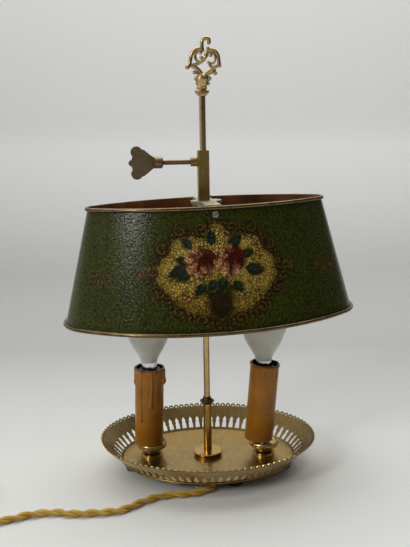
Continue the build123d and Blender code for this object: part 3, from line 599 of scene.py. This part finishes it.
def make_candle(side, look):
    """A hollow sleeve with a rounded, uneven rim and wax runs down its outside."""
    foot_x, foot_z, lean = CANDLE_PLACES[side]
    side_top = CANDLE_LENGTH - RIM_ROUND
    angles = [2 * math.pi * column / CANDLE_COLUMNS for column in range(CANDLE_COLUMNS)]
    verts = []
    singe_and_bore_shade = []
    for row in range(CANDLE_ROWS):
        drop = side_top * (1 - row / (CANDLE_ROWS - 1))
        for angle in angles:
            out = CANDLE_RADIUS + wax_depth(WAX_RUNS[side], angle, drop / MM) * MM
            verts.append((out * math.sin(angle), -out * math.cos(angle), side_top - drop))
        singe_and_bore_shade += [RIM_CLEAN + (1 - RIM_CLEAN) * min(drop / MM / SINGE_REACH, 1.0)] * CANDLE_COLUMNS
    for number, (out, rise) in enumerate(RIM_PROFILE):
        for angle in angles:
            wave = 0.0
            if number < len(RIM_PROFILE) - 1:
                wave = 0.0003 * math.sin(3 * angle + 1.3) + 0.0002 * math.sin(7 * angle)
            verts.append((out * math.sin(angle), -out * math.cos(angle), side_top + rise + wave))
        singe_and_bore_shade += [RIM_CLEAN if number < RIM_CLEAN_ROWS else 0.0] * CANDLE_COLUMNS
    faces = ring_grid(CANDLE_COLUMNS, CANDLE_ROWS + len(RIM_PROFILE), closed=True)
    stand = Matrix.Translation((foot_x, 0, foot_z)) @ Matrix.Rotation(math.radians(lean), 4, "Y")
    verts = [tuple(stand @ Vector(v)) for v in verts]
    piece = make_piece("candle_sleeve_" + side, verts, faces, look, "base")
    store(piece, "singe_and_bore_shade", singe_and_bore_shade)
    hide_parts("candle_" + side)


wax = wax_look()
for candle_side in CANDLE_PLACES:
    make_candle(candle_side, wax)


# ---- cord
STRAND_RADIUS = 0.00172
STRAND_OFFSET = 0.0016
STRAND_SIDES = 12
TWIST_PITCH = 0.029
CORD_STEP = 0.0014
# The threads of the strands' cover: radians per metre along, and per turn round
THREADS_ALONG = 5200.0
THREADS_AROUND = 12 * math.pi
# The route in mm: from the block under the tray, out below its front edge and away to the left
CORD_ROUTE = [
    (6.4, -22.3, 7.2), (10.5, -46.0, 4.6), (-6.0, -63.5, 3.4), (-36.0, -64.3, 3.35), (-56.0, -74.0, 3.35),
    (-74.0, -92.0, 3.35), (-92.0, -94.5, 3.35), (-116.0, -96.5, 3.35), (-132.0, -92.0, 3.35),
    (-154.0, -95.5, 3.35), (-170.0, -104.5, 3.35), (-203.0, -114.0, 3.35), (-236.0, -119.6, 3.35),
]
# The coil that puts the rest of the cord away, in mm, and the last stretch to the plug
COIL_CENTRE = (-243.8, -74.4)
COIL_OUTER_TURN = 45.9
COIL_PITCH = 6.6
COIL_TURNS_A_LAYER = 3.0
COIL_CLIMB = 0.16
COIL_LAYER_HEIGHTS = (3.35, 9.95)
COIL_STEPS_A_TURN = 16
TAIL_ROUTE = [(-290.0, -48.4, 8.6), (-291.4, -22.5, 6.85)]


def coil_points():
    """The coil's turns: inwards on the surface, a climb, then outwards on top."""
    lower, upper = COIL_LAYER_HEIGHTS
    start = math.atan2(CORD_ROUTE[-1][1] - COIL_CENTRE[1], CORD_ROUTE[-1][0] - COIL_CENTRE[0])
    # As many turns as bring the coil's end round to its left side
    whole = math.floor(2 * COIL_TURNS_A_LAYER + COIL_CLIMB) + ((start + math.pi) / (2 * math.pi)) % 1.0
    climbed = COIL_TURNS_A_LAYER + COIL_CLIMB
    inner = COIL_OUTER_TURN - COIL_PITCH * COIL_TURNS_A_LAYER
    points = []
    steps = round(whole * COIL_STEPS_A_TURN)
    for step in range(1, steps + 1):
        turn = whole * step / steps
        if turn <= COIL_TURNS_A_LAYER:
            radius = COIL_OUTER_TURN - COIL_PITCH * turn
            height = lower
        elif turn <= climbed:
            radius = inner
            height = lower + (turn - COIL_TURNS_A_LAYER) / COIL_CLIMB * (upper - lower)
        else:
            radius = inner + (turn - climbed) / (whole - climbed) * (COIL_OUTER_TURN - inner)
            height = upper
        angle = start - 2 * math.pi * turn
        points.append(
            (COIL_CENTRE[0] + radius * math.cos(angle), COIL_CENTRE[1] + radius * math.sin(angle), height)
        )
    return points


def smooth_line(points):
    """Points along the smooth curve that has the given control points, in metres."""
    curve = bpy.data.curves.new("cord_line", "CURVE")
    curve.dimensions = "3D"
    curve.resolution_u = 12
    spline = curve.splines.new("NURBS")
    spline.points.add(len(points) - 1)
    for control, (x, y, z) in zip(spline.points, points):
        control.co = (x * MM, y * MM, z * MM, 1.0)
    spline.order_u = 3
    spline.use_endpoint_u = True
    holder = bpy.data.objects.new("cord_line", curve)
    bpy.context.scene.collection.objects.link(holder)
    line = bpy.data.meshes.new_from_object(holder)
    path = [v.co.copy() for v in line.vertices]
    bpy.data.objects.remove(holder)
    bpy.data.curves.remove(curve)
    return path


def cord_look():
    """A golden woven cover, darker between its slanting threads."""
    look = Look("cord_gold")
    along = look.maths("MULTIPLY", look.attribute("along"), THREADS_ALONG)
    around = look.attribute("around")
    threads = []
    for slant, shift in ((THREADS_AROUND, 0.0), (-THREADS_AROUND, 1.2)):
        place = look.maths("ADD", along, look.maths("MULTIPLY", around, slant))
        threads.append(look.maths("SINE", look.maths("ADD", place, shift)))
    weave = look.maths("MAXIMUM", *threads)
    golds = ((0.3, srgb(196, 152, 42)), (0.6, srgb(226, 184, 74)), (0.85, srgb(238, 206, 110)))
    gold = look.ramp(look.noise(120), *golds)
    gold = look.mix(look.ramp(weave, (0.2, 0.6), (0.9, 0.0)), gold, srgb(118, 82, 12))
    look.set(Base_Color=gold, Roughness=0.45, Specular_IOR_Level=0.4)
    look.set(Sheen_Weight=0.2, Sheen_Roughness=0.4)
    look.bump(weave, 0.6, 0.0003)
    return look


def line_samples(path):
    """Places at even steps along the line: the point, two directions across it, and how far along it is."""
    count = len(path)
    lengths = [0.0]
    for before, after in zip(path, path[1:]):
        lengths.append(lengths[-1] + (after - before).length)
    frames = []
    across = Vector((0, 0, 1))
    for i, point in enumerate(path):
        ahead = path[min(i + 1, count - 1)] - path[max(i - 1, 0)]
        ahead.normalize()
        across = (across - ahead * across.dot(ahead)).normalized()
        frames.append((point, across.copy(), ahead.cross(across)))
    steps = int(lengths[-1] / CORD_STEP)
    samples = []
    k = 0
    for step in range(steps + 1):
        here = lengths[-1] * step / steps
        while k < count - 2 and lengths[k + 1] < here:
            k += 1
        share = (here - lengths[k]) / max(lengths[k + 1] - lengths[k], 1e-9)
        spot, up, aside = (before.lerp(after, share) for before, after in zip(frames[k], frames[k + 1]))
        samples.append((spot, up.normalized(), aside.normalized(), here))
    return samples


def make_cord():
    """Two strands twisted about one smooth line, from under the tray to the plug."""
    samples = line_samples(smooth_line(CORD_ROUTE + coil_points() + TAIL_ROUTE))
    verts = []
    faces = []
    along = []
    around = []
    for strand in (0, 1):
        base = len(verts)
        for spot, up, aside, here in samples:
            phase = 2 * math.pi * here / TWIST_PITCH + math.pi * strand
            centre = spot + STRAND_OFFSET * (math.cos(phase) * up + math.sin(phase) * aside)
            for corner in range(STRAND_SIDES):
                turn = 2 * math.pi * corner / STRAND_SIDES + phase
                verts.append(tuple(centre + STRAND_RADIUS * (math.cos(turn) * up + math.sin(turn) * aside)))
                along.append(here)
                # Up one side of the strand and down the other, so that no seam shows
                around.append(min(corner, STRAND_SIDES - corner) / STRAND_SIDES)
        faces += ring_grid(STRAND_SIDES, len(samples), base)
        end = base + (len(samples) - 1) * STRAND_SIDES
        faces.append(tuple(base + corner for corner in reversed(range(STRAND_SIDES))))
        faces.append(tuple(end + corner for corner in range(STRAND_SIDES)))
    piece = make_piece("twisted_cord", verts, faces, cord_look(), "base")
    store(piece, "along", along)
    store(piece, "around", around)
    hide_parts("cord_lead", "cord_coil", "cord_tail")


make_cord()


# ---- shade: shape
# Lengths from here on are in mm and angles in degrees. The shade hangs askew, tilted at its bridge.
SHADE_TURN = 7.5
SHADE_TILT = 1.4
SHADE_TILT_HEIGHT = 282.0
SHADE_SHIFT = 1.5
# An oval of four arcs at the lower bead's middle, and how much it draws in up to the upper bead
SHADE_HALF_LENGTH = 135.4
SHADE_HALF_WIDTH = 77.2
SHADE_END_RADIUS = 44.0
SHADE_TAPER = 26.6
BEAD_RADIUS = 1.7
SHADE_BOTTOM = 153.0
SHADE_TOP = 260.0
SHEET_THICKNESS = 0.8
BEAD_LOW = SHADE_BOTTOM + BEAD_RADIUS
BEAD_HIGH = SHADE_TOP - BEAD_RADIUS
WALL_LEAN = SHADE_TAPER / (BEAD_HIGH - BEAD_LOW)
# The sheet ends inside the beads
SHEET_LOW = SHADE_BOTTOM + 0.2
SHEET_HIGH = SHADE_TOP - 0.2
INNER_ROWS = 8
# Grid steps: fine on the front arc up to PAINTED_HALF from its middle, coarse elsewhere
FRONT_ARC = 3
PAINTED_HALF = 122.0
FINE_STEP = 0.8
COARSE_STEP = 3.0


def oval_arcs(half_length, half_width, end_radius):
    """Centre, radius, start angle and sweep of an oval's four tangent arcs."""
    end_x = half_length - end_radius
    side_radius = (end_x**2 + half_width**2 - end_radius**2) / (2 * (half_width - end_radius))
    side_y = side_radius - half_width
    end_half = math.atan2(side_y, end_x)
    side_sweep = math.pi - 2 * end_half
    return [
        ((end_x, 0), end_radius, -end_half, 2 * end_half),
        ((0, -side_y), side_radius, end_half, side_sweep),
        ((-end_x, 0), end_radius, math.pi - end_half, 2 * end_half),
        ((0, side_y), side_radius, math.pi + end_half, side_sweep),
    ]


def shade_columns():
    """Arc centre, radius and angle of each upright line of the shade's grid, closer on the painted front."""
    columns = []
    arcs = oval_arcs(SHADE_HALF_LENGTH, SHADE_HALF_WIDTH, SHADE_END_RADIUS)
    for number, (centre, radius, start, sweep) in enumerate(arcs):
        parts = [(0.0, 1.0, COARSE_STEP)]
        if number == FRONT_ARC:
            left = 0.5 - PAINTED_HALF / radius / sweep
            right = 0.5 + PAINTED_HALF / radius / sweep
            parts = [(0.0, left, COARSE_STEP), (left, right, FINE_STEP), (right, 1.0, COARSE_STEP)]
        for low, high, grid_step in parts:
            steps = math.ceil((high - low) * sweep * radius / grid_step)
            for step in range(steps):
                columns.append((centre, radius, start + sweep * (low + (high - low) * step / steps)))
    return columns


def shade_point(column, height, outside):
    """A point of the sheet's outer or inner face, in mm, before the shade's turn."""
    centre, radius, angle = column
    reach = radius - BEAD_RADIUS - WALL_LEAN * (height - BEAD_LOW)
    if outside:
        reach += SHEET_THICKNESS * math.hypot(1, WALL_LEAN)
    return centre[0] + reach * math.cos(angle), centre[1] + reach * math.sin(angle), height


# ---- shade: decoration
# Colours as they look on screen
GREEN_DARK = srgb(47, 53, 9)
GREEN_LIGHT = srgb(66, 70, 14)
GOLD_GROUND = srgb(180, 150, 66)
GOLD_PALE = srgb(198, 168, 86)
GOLD_SHADE = srgb(98, 74, 18)
SCROLL_DARK = srgb(38, 22, 6)
SCROLL_GOLD = srgb(118, 94, 40)
SPRAY_BROWN = srgb(58, 42, 14)
FLECK_DARK = srgb(18, 12, 4)
ROSE_LIGHT = srgb(222, 170, 118)
ROSE_MID = srgb(166, 80, 56)
ROSE_DEEP = srgb(94, 10, 20)
ROSE_DARK = srgb(48, 4, 7)
LEAF_DARK = srgb(16, 34, 28)
LEAF_LIGHT = srgb(44, 70, 50)
LEAF_OLIVE = srgb(66, 78, 36)
BASKET = srgb(38, 24, 8)
BASKET_LIGHT = srgb(92, 62, 28)
# Painted shade along the top and bottom edges, and how far it reaches (mm)
EDGE_SHADE = srgb(26, 24, 8)
EDGE_SHADE_REACH = 8.0
# Painted highlight for the pebbles' tops and painted shade for their hollows
PEBBLE_HIGHLIGHT = srgb(92, 101, 24)
PEBBLE_HIGHLIGHT_GAIN = (1.4, 1.35, 1.3)
PEBBLE_SHADE = srgb(16, 18, 4)
CRACK_DARK = srgb(26, 22, 6)
# The golden field's middle and half axes. What is painted is placed from its middle, across and up.
FIELD_HEIGHT = 204.0
FIELD_HALF_LENGTH = 51.0
FIELD_HALF_HEIGHT = 36.5
# Lobes of its outline, as shares of its size: how far out, degrees from the top, and width in degrees
FIELD_LOBES = ((0.10, 0.0, 9.0), (-0.07, 24.0, 9.0), (0.05, 52.0, 10.0))
SPARE_HOLE = (-7.2, 48.6)
# Points on the back count as this far across, where nothing is painted
FAR_OFF = 1000.0
# Scrolls: place, size, turn and way round. Each is painted on the right and mirrored on the left.
BORDER_SCROLLS = (
    (13, 37, 6.5, 220, 1), (30, 36, 7.5, 160, -1), (47, 22, 7.5, 110, 1), (55, 3, 6.0, 80, -1),
    (52, -16, 8.0, 310, 1), (36, -32, 8.0, 270, -1), (16, -39, 7.0, 230, 1),
)
SPRAY_SCROLLS = (
    (60, 3, 4.5, 160, 1), (66, 0, 3.2, 40, 1), (94, -3, 4.0, 20, -1),
    (100, -8, 4.2, 200, 1), (104, -1, 3.6, 180, -1), (110, -6, 3.4, 30, 1),
)
SPRAY_BUDS = ((62, 2), (96, -5), (103, -2), (107, -8))
# Leaves: stalk end, length, half width and turn. Buds: place and size.
LEAVES = (
    (-23, 8, 24, 5.6, 205), (-25, 10, 12, 3.8, 160), (-23, 0, 14, 3.8, 195), (-11, -8, 15, 4.2, 222),
    (-21, 21, 13, 4.4, 130), (-4, 23, 14, 4.8, 94), (9, 20, 18, 5.2, 38), (21, 13, 12, 4.0, 18),
    (23, 3, 19, 5.6, -14), (12, -7, 13, 4.4, -50), (3, -3, 13, 5.2, 266), (-3, -5, 12, 4.4, 235),
)
BUDS = ((-27, -20, 1.5), (36, 17, 1.5))
# Roses: place, size, turn and seed. Petals of a rose: distance from its middle, size, number and lightness.
ROSES = ((-14.5, 9.5, 14.6, 12, 1), (10.5, 10.5, 14.8, 40, 2))
PETAL_RINGS = ((0.66, 0.46, 7, 0.95), (0.44, 0.38, 6, 0.75), (0.24, 0.28, 4, 0.55))
ROSE_LIT_SIDE = 205.0


class Canvas:
    """Colours of many points at once, painted one soft-edged stroke over another."""

    def __init__(self, across, up):
        self.x = across
        self.y = up
        self.colour = np.tile(np.array(GREEN_DARK), (len(across), 1))
        self.cover = np.zeros(len(across))

    def lay(self, amount, colour):
        """Blend a colour in, by an amount for each point."""
        amount = np.clip(amount, 0, 1)
        self.cover = 1 - (1 - self.cover) * (1 - amount)
        amount = amount[:, None]
        self.colour = self.colour * (1 - amount) + np.array(colour) * amount

    def seen_from(self, cx, cy, turn):
        """The points' places along and across a direction, from (cx, cy)."""
        c = math.cos(math.radians(turn))
        s = math.sin(math.radians(turn))
        return (self.x - cx) * c + (self.y - cy) * s, -(self.x - cx) * s + (self.y - cy) * c

    def ellipse(self, cx, cy, rx, ry, turn, colour, strength=1.0, soft=0.35):
        """An ellipse that fades out over its outer part, soft as a share of its size."""
        u, v = self.seen_from(cx, cy, turn)
        far = np.hypot(u / rx, v / ry)
        self.lay(strength * np.clip((1 - far) / soft, 0, 1), colour)

    def leaf(self, cx, cy, length, width, turn, colour, strength=1.0):
        """A pointed leaf whose stalk end is at (cx, cy)."""
        u, v = self.seen_from(cx, cy, turn)
        u = u / length
        inside = (u > 0) & (u < 1)
        edge = np.where(inside, np.sin(np.pi * np.clip(u, 0, 1) ** 0.8), 0)
        self.lay(strength * np.clip((edge - np.abs(v / width)) / 0.25, 0, 1) * inside, colour)

    def stroke(self, points, width, colour, strength=1.0):
        """A line through points, thickest in its middle."""
        count = len(points)
        for i, ((x0, y0), (x1, y1)) in enumerate(zip(points, points[1:])):
            run = math.hypot(x1 - x0, y1 - y0)
            t = np.clip(((self.x - x0) * (x1 - x0) + (self.y - y0) * (y1 - y0)) / run**2, 0, 1)
            far = np.hypot(self.x - x0 - t * (x1 - x0), self.y - y0 - t * (y1 - y0))
            here = width * (0.45 + 0.55 * math.sin(math.pi * (i + 0.5) / (count - 1)))
            self.lay(strength * np.clip((here - far) / (0.5 * here) + 0.3, 0, 1), colour)


def scroll(cx, cy, size, turn, hand, sweep_turns=1.35, steps=22):
    """A volute: a line that winds in to its centre."""
    points = []
    for i in range(steps + 1):
        t = i / steps
        radius = size * (1 - t) ** 1.15 + 0.3
        angle = math.radians(turn) + hand * 2 * math.pi * sweep_turns * t
        points.append((cx + radius * math.cos(angle), cy + radius * math.sin(angle)))
    return points


def ripple(across, up, size, seed, waves=7):
    """A smooth, random-looking value from -1 to 1 at each point, with bumps of about one size."""
    dice = random.Random(seed)
    total = np.zeros(len(across))
    for _ in range(waves):
        way = dice.uniform(0, math.pi)
        pitch = 2 * math.pi / (size * dice.uniform(0.8, 1.6))
        total += np.sin(pitch * (across * math.cos(way) + up * math.sin(way)) + dice.uniform(0, 6.28))
    return np.clip(total / (0.55 * waves), -1, 1)


def blossom(canvas, cx, cy, size, turn, seed):
    """A full rose: light outer petals, each edged by a dark fold, round a dark, curled heart."""
    dice = random.Random(seed)
    canvas.ellipse(cx, cy, size * 1.02, size * 0.92, turn, ROSE_DARK, 0.9, 0.25)
    for reach, petal, count, light in PETAL_RINGS:
        for k in range(count):
            angle = math.radians(turn + 360 * (k + dice.uniform(-0.2, 0.2)) / count + 70 * reach)
            out = (size * math.cos(angle), size * math.sin(angle))
            px = cx + reach * out[0]
            py = cy + reach * out[1] * 0.9
            lean = math.degrees(angle) + 90 + dice.uniform(-15, 15)
            facing = 0.5 + 0.5 * math.cos(angle - math.radians(ROSE_LIT_SIDE))
            facing = min(1.0, 1.5 * facing)
            colour = tuple(facing * a + (1 - facing) * b for a, b in zip(ROSE_MID, ROSE_DEEP))
            # The dark fold, the petal and its light edge, each a little further out
            for shift, rx, ry, shade, strength, soft in (
                (0.0, 1.0, 0.74, ROSE_DARK, 0.75, 0.35),
                (0.07, 0.86, 0.58, colour, 0.95, 0.4),
                (0.15, 0.74, 0.44, ROSE_LIGHT, light * facing, 0.6),
            ):
                place = (px + shift * out[0], py + shift * out[1])
                canvas.ellipse(*place, size * petal * rx, size * petal * ry, lean, shade, strength, soft)
    for across, up, rx, ry, tilt, shade, strength, soft in (
        (0.46, 0.12, 0.50, 0.66, 15, ROSE_DEEP, 0.85, 0.7),
        (0.20, 0.22, 0.34, 0.30, 30, ROSE_DARK, 0.85, 0.6),
        (0.62, -0.10, 0.22, 0.40, 15, ROSE_DARK, 0.7, 0.6),
    ):
        canvas.ellipse(cx + across * size, cy + up * size, rx * size, ry * size, tilt, shade, strength, soft)
    heart = scroll(cx + 0.22 * size, cy + 0.14 * size, size * 0.30, turn, 1, 1.2, 14)
    canvas.stroke(heart, 0.08 * size, ROSE_DEEP, 0.9)


def field_edge(angle):
    """Reach of the golden field's outline from its middle: lobed, with a point at its top."""
    upright = angle - math.pi / 2
    from_top = np.degrees(np.abs(np.arctan2(np.sin(upright), np.cos(upright))))
    lobes = 1.0 + 0.035 * np.cos(8 * angle) + 0.02 * np.cos(4 * angle)
    for out, middle, width in FIELD_LOBES:
        lobes += out * np.exp(-(((from_top - middle) / width) ** 2))
    oval = FIELD_HALF_LENGTH * FIELD_HALF_HEIGHT / np.hypot(
        FIELD_HALF_HEIGHT * np.cos(angle), FIELD_HALF_LENGTH * np.sin(angle)
    )
    return lobes * oval


def paint_basket(canvas):
    """A low woven basket under the flowers."""
    count = 7
    for row in range(9):
        height = -11.5 - 2.0 * row
        half = 13.5 - 0.85 * row
        for k in range(count):
            px = half * (2 * (k + 0.5 * (row % 2)) / count - 1) + 1.0
            canvas.ellipse(px, height, 2.4, 1.3, 0, BASKET, 0.85, 0.5)
            canvas.ellipse(px + 0.2, height + 0.35, 1.5, 0.6, 0, BASKET_LIGHT, 0.55, 0.6)
    canvas.stroke([(-13, -10.5), (-6, -12), (1, -12.4), (8, -12), (15, -10.5)], 1.2, BASKET, 0.9)
    canvas.stroke([(-8, -29.5), (1, -30.5), (10, -29.5)], 1.3, BASKET, 0.9)


def paint_surround(canvas, beyond, worn):
    """A brown, broken band round the field, by how far beyond the field's edge each point is."""
    near = np.clip(1.3 - np.abs(beyond - 2.5) / 7.0, 0, 1)
    canvas.lay(near * np.clip(0.8 + 0.5 * worn, 0.2, 0.95), SCROLL_DARK)
    canvas.lay(near * np.clip(0.8 * ripple(canvas.x, canvas.y, 6.0, 21), 0, 0.7), SPRAY_BROWN)
    fleck = ripple(canvas.x, canvas.y, 3.0, 11, waves=9)
    canvas.lay(near * np.clip(1.5 * fleck - 0.25, 0, 0.85), SCROLL_GOLD)
    canvas.lay(near * np.clip(-1.5 * fleck - 0.25, 0, 0.85), FLECK_DARK)


def paint_field(canvas, beyond, worn):
    """The golden field, paler above and browned below and along its edge."""
    inside = np.clip(-beyond / 2.2, 0, 1)
    broad = ripple(canvas.x, canvas.y, 17.0, 8)
    canvas.lay(inside, GOLD_GROUND)
    canvas.lay(inside * np.clip((canvas.y + 4) / 40 + 0.2 * broad, 0, 0.55), GOLD_PALE)
    canvas.lay(inside * np.clip((-canvas.y - 14) / 26 + 0.15 * worn, 0, 0.75), GOLD_SHADE)
    canvas.lay(inside * np.clip(0.9 + beyond / 8.0 + 0.25 * worn, 0, 0.6), GOLD_SHADE)


def paint_scrolls(canvas, scrolls, hand, width, colour, strength, light_shift):
    """Scrolls on one side, each with a thin golden light along it."""
    shift_x, shift_y = light_shift
    for cx, cy, size, turn, way in scrolls:
        points = [(hand * px, py) for px, py in scroll(cx, cy, size, turn, way)]
        canvas.stroke(points, width, colour, strength)
        canvas.stroke([(px + shift_x, py + shift_y) for px, py in points], 0.6, SCROLL_GOLD, 0.5)


def paint_flowers(canvas):
    """The basket with its leaves, buds and two roses, over a soft brown shade."""
    canvas.ellipse(1, -14, 24, 17, 0, GOLD_SHADE, 0.75, 0.8)
    canvas.ellipse(0, -24, 15, 22, 0, BASKET, 1.0, 0.5)
    paint_basket(canvas)
    for cx, cy, length, width, turn in LEAVES:
        canvas.leaf(cx, cy, length * 1.12, width * 1.3, turn + 6, LEAF_OLIVE, 0.7)
        canvas.leaf(cx, cy, length, width, turn, LEAF_DARK, 0.95)
        canvas.leaf(cx + 0.5, cy + 0.8, length * 0.8, width * 0.38, turn, LEAF_LIGHT, 0.75)
    for cx, cy, size in BUDS:
        for turn in range(10, 370, 72):
            px = cx + size * math.cos(math.radians(turn))
            py = cy + size * math.sin(math.radians(turn))
            canvas.ellipse(px, py, 1.6, 1.2, turn, ROSE_MID, 0.85)
        canvas.ellipse(cx, cy, 1.1, 1.1, 0, GOLD_PALE, 0.9)
    for rose in ROSES:
        blossom(canvas, *rose)


def paint_shade(across, up):
    """What is painted at each point: its colour, how far it covers the plain green, and the golden field."""
    canvas = Canvas(across, up)
    beyond = np.hypot(across, up) - field_edge(np.arctan2(up, across))
    worn = ripple(across, up, 5.0, 3)
    ragged = beyond - 0.9 * worn
    paint_surround(canvas, ragged, worn)
    paint_field(canvas, ragged, worn)
    for hand in (-1, 1):
        paint_scrolls(canvas, BORDER_SCROLLS, hand, 1.9, SCROLL_DARK, 0.9, (0.3, 0.7))
        paint_scrolls(canvas, SPRAY_SCROLLS, hand, 1.7, SPRAY_BROWN, 0.8, (0.2, 0.5))
        for px, py in SPRAY_BUDS:
            canvas.ellipse(hand * px, py, 2.2, 1.8, 0, ROSE_DARK, 0.4)
    paint_flowers(canvas)
    # A spare screw hole beside the front screw, painted as a golden ring round a dark spot; the dark spot is
    # painted shade inside the hole
    canvas.ellipse(*SPARE_HOLE, 2.4, 2.2, 0, SCROLL_GOLD, 0.6, 0.4)
    canvas.ellipse(*SPARE_HOLE, 1.7, 1.7, 0, FLECK_DARK, 1.0, 0.3)
    # Painted shade along both edges, beside the beads
    from_edge = np.minimum(SHADE_TOP - FIELD_HEIGHT - up, up - SHADE_BOTTOM + FIELD_HEIGHT)
    canvas.lay(np.clip(1 - from_edge / EDGE_SHADE_REACH, 0, 1) * 0.75, EDGE_SHADE)
    return canvas.colour, canvas.cover, np.clip(1.0 - beyond / 2.5, 0, 1)


def paint_look():
    """Glossy, pebbled, finely crazed paint, with painted highlights and shade on its pebbles and wide dark
    cracks in the golden field.
    """
    look = Look("shade_paint")
    painted = look.attribute("paint", "Color")
    decor = look.attribute("decor")
    pebbles = look.noise(520, rough=0.75)
    cracks = look.ramp(look.crazing(430, look.jitter(260, 0.0012)), (0.07, 1.0), (0.27, 0.0))
    fine_cracks = look.ramp(look.crazing(720, look.jitter(400, 0.0008)), (0.04, 1.0), (0.22, 0.0))
    clouds = look.ramp(look.noise(18, detail=6), (0.35, 0.0), (0.75, 0.6))
    ground = look.mix(decor, look.mix(clouds, painted, GREEN_LIGHT), painted)
    # Painted highlights on the pebble tops and painted shade in the hollows between them
    highlit_green = look.mix(0.6, ground, PEBBLE_HIGHLIGHT)
    highlit_decor = look.mix(1.0, ground, PEBBLE_HIGHLIGHT_GAIN, blend="MULTIPLY")
    pebble_highlight = look.ramp(pebbles, (0.50, 0.0), (0.66, 0.95))
    ground = look.mix(pebble_highlight, ground, look.mix(decor, highlit_green, highlit_decor))
    ground = look.mix(look.ramp(pebbles, (0.36, 0.95), (0.48, 0.0)), ground, PEBBLE_SHADE)
    green_cracks = look.maths("MULTIPLY", fine_cracks, 0.6)
    crack_depth = look.ramp(look.noise(60, detail=3), (0.35, 0.6), (0.65, 0.95))
    gold_cracks = look.maths("MULTIPLY", cracks, crack_depth)
    ground = look.mix(look.mix(look.attribute("gold"), green_cracks, gold_cracks), ground, CRACK_DARK)
    look.set(
        Base_Color=ground,
        Roughness=look.ramp(pebbles, (0.3, 0.10), (0.7, 0.20)),
        Specular_IOR_Level=0.22,
    )
    swell = look.noise(520, detail=1.0, rough=0.5)
    look.bump(look.mix(0.88, look.maths("SUBTRACT", 1.0, fine_cracks), swell), 0.5, 0.0004)
    return look


def inside_look():
    """The dull brown inside of the shade."""
    look = Look("shade_inside")
    clouds = look.noise(45, detail=6)
    colour = look.ramp(clouds, (0.3, srgb(70, 38, 12)), (0.55, srgb(92, 54, 20)), (0.8, srgb(122, 78, 36)))
    look.set(Base_Color=colour, Roughness=0.7, Specular_IOR_Level=0.12)
    look.bump(look.noise(420), 0.25, 0.0004)
    return look


def make_shade():
    """The flaring sheet as one closed mesh, with its decoration stored on its points."""
    columns = shade_columns()
    count = len(columns)
    outer_rows = math.ceil((SHEET_HIGH - SHEET_LOW) / FINE_STEP) + 1
    verts = []
    for rows, start, end, outside in (
        (outer_rows, SHEET_LOW, SHEET_HIGH, True), (INNER_ROWS, SHEET_HIGH, SHEET_LOW, False)
    ):
        for row in range(rows):
            height = start + (end - start) * row / (rows - 1)
            verts += [shade_point(column, height, outside) for column in columns]
    faces = ring_grid(count, outer_rows + INNER_ROWS, closed=True)
    hang = (
        Matrix.Translation((SHADE_SHIFT * MM, 0, SHADE_TILT_HEIGHT * MM))
        @ Matrix.Rotation(math.radians(-SHADE_TILT), 4, "Y")
        @ Matrix.Translation((0, 0, -SHADE_TILT_HEIGHT * MM))
        @ Matrix.Rotation(math.radians(SHADE_TURN), 4, "Z")
    )
    placed = [tuple(hang @ (Vector(v) * MM)) for v in verts]
    piece = make_piece("painted_shade", placed, faces, paint_look(), "shade")
    piece.data.materials.append(inside_look().material)
    inner_start = (outer_rows - 1) * count
    for polygon in piece.data.polygons:
        if min(polygon.vertices) >= inner_start or polygon.index >= len(faces) - count:
            polygon.material_index = 1
    x, y, z = np.array(verts).T
    colours, cover, gold = paint_shade(np.where(y < 0, x, FAR_OFF), z - FIELD_HEIGHT)
    layer = piece.data.color_attributes.new("paint", "FLOAT_COLOR", "POINT")
    layer.data.foreach_set("color", np.column_stack((colours, np.ones(len(verts)))).ravel())
    store(piece, "gold", gold)
    store(piece, "decor", cover)
    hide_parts("shade_sheet")


make_shade()
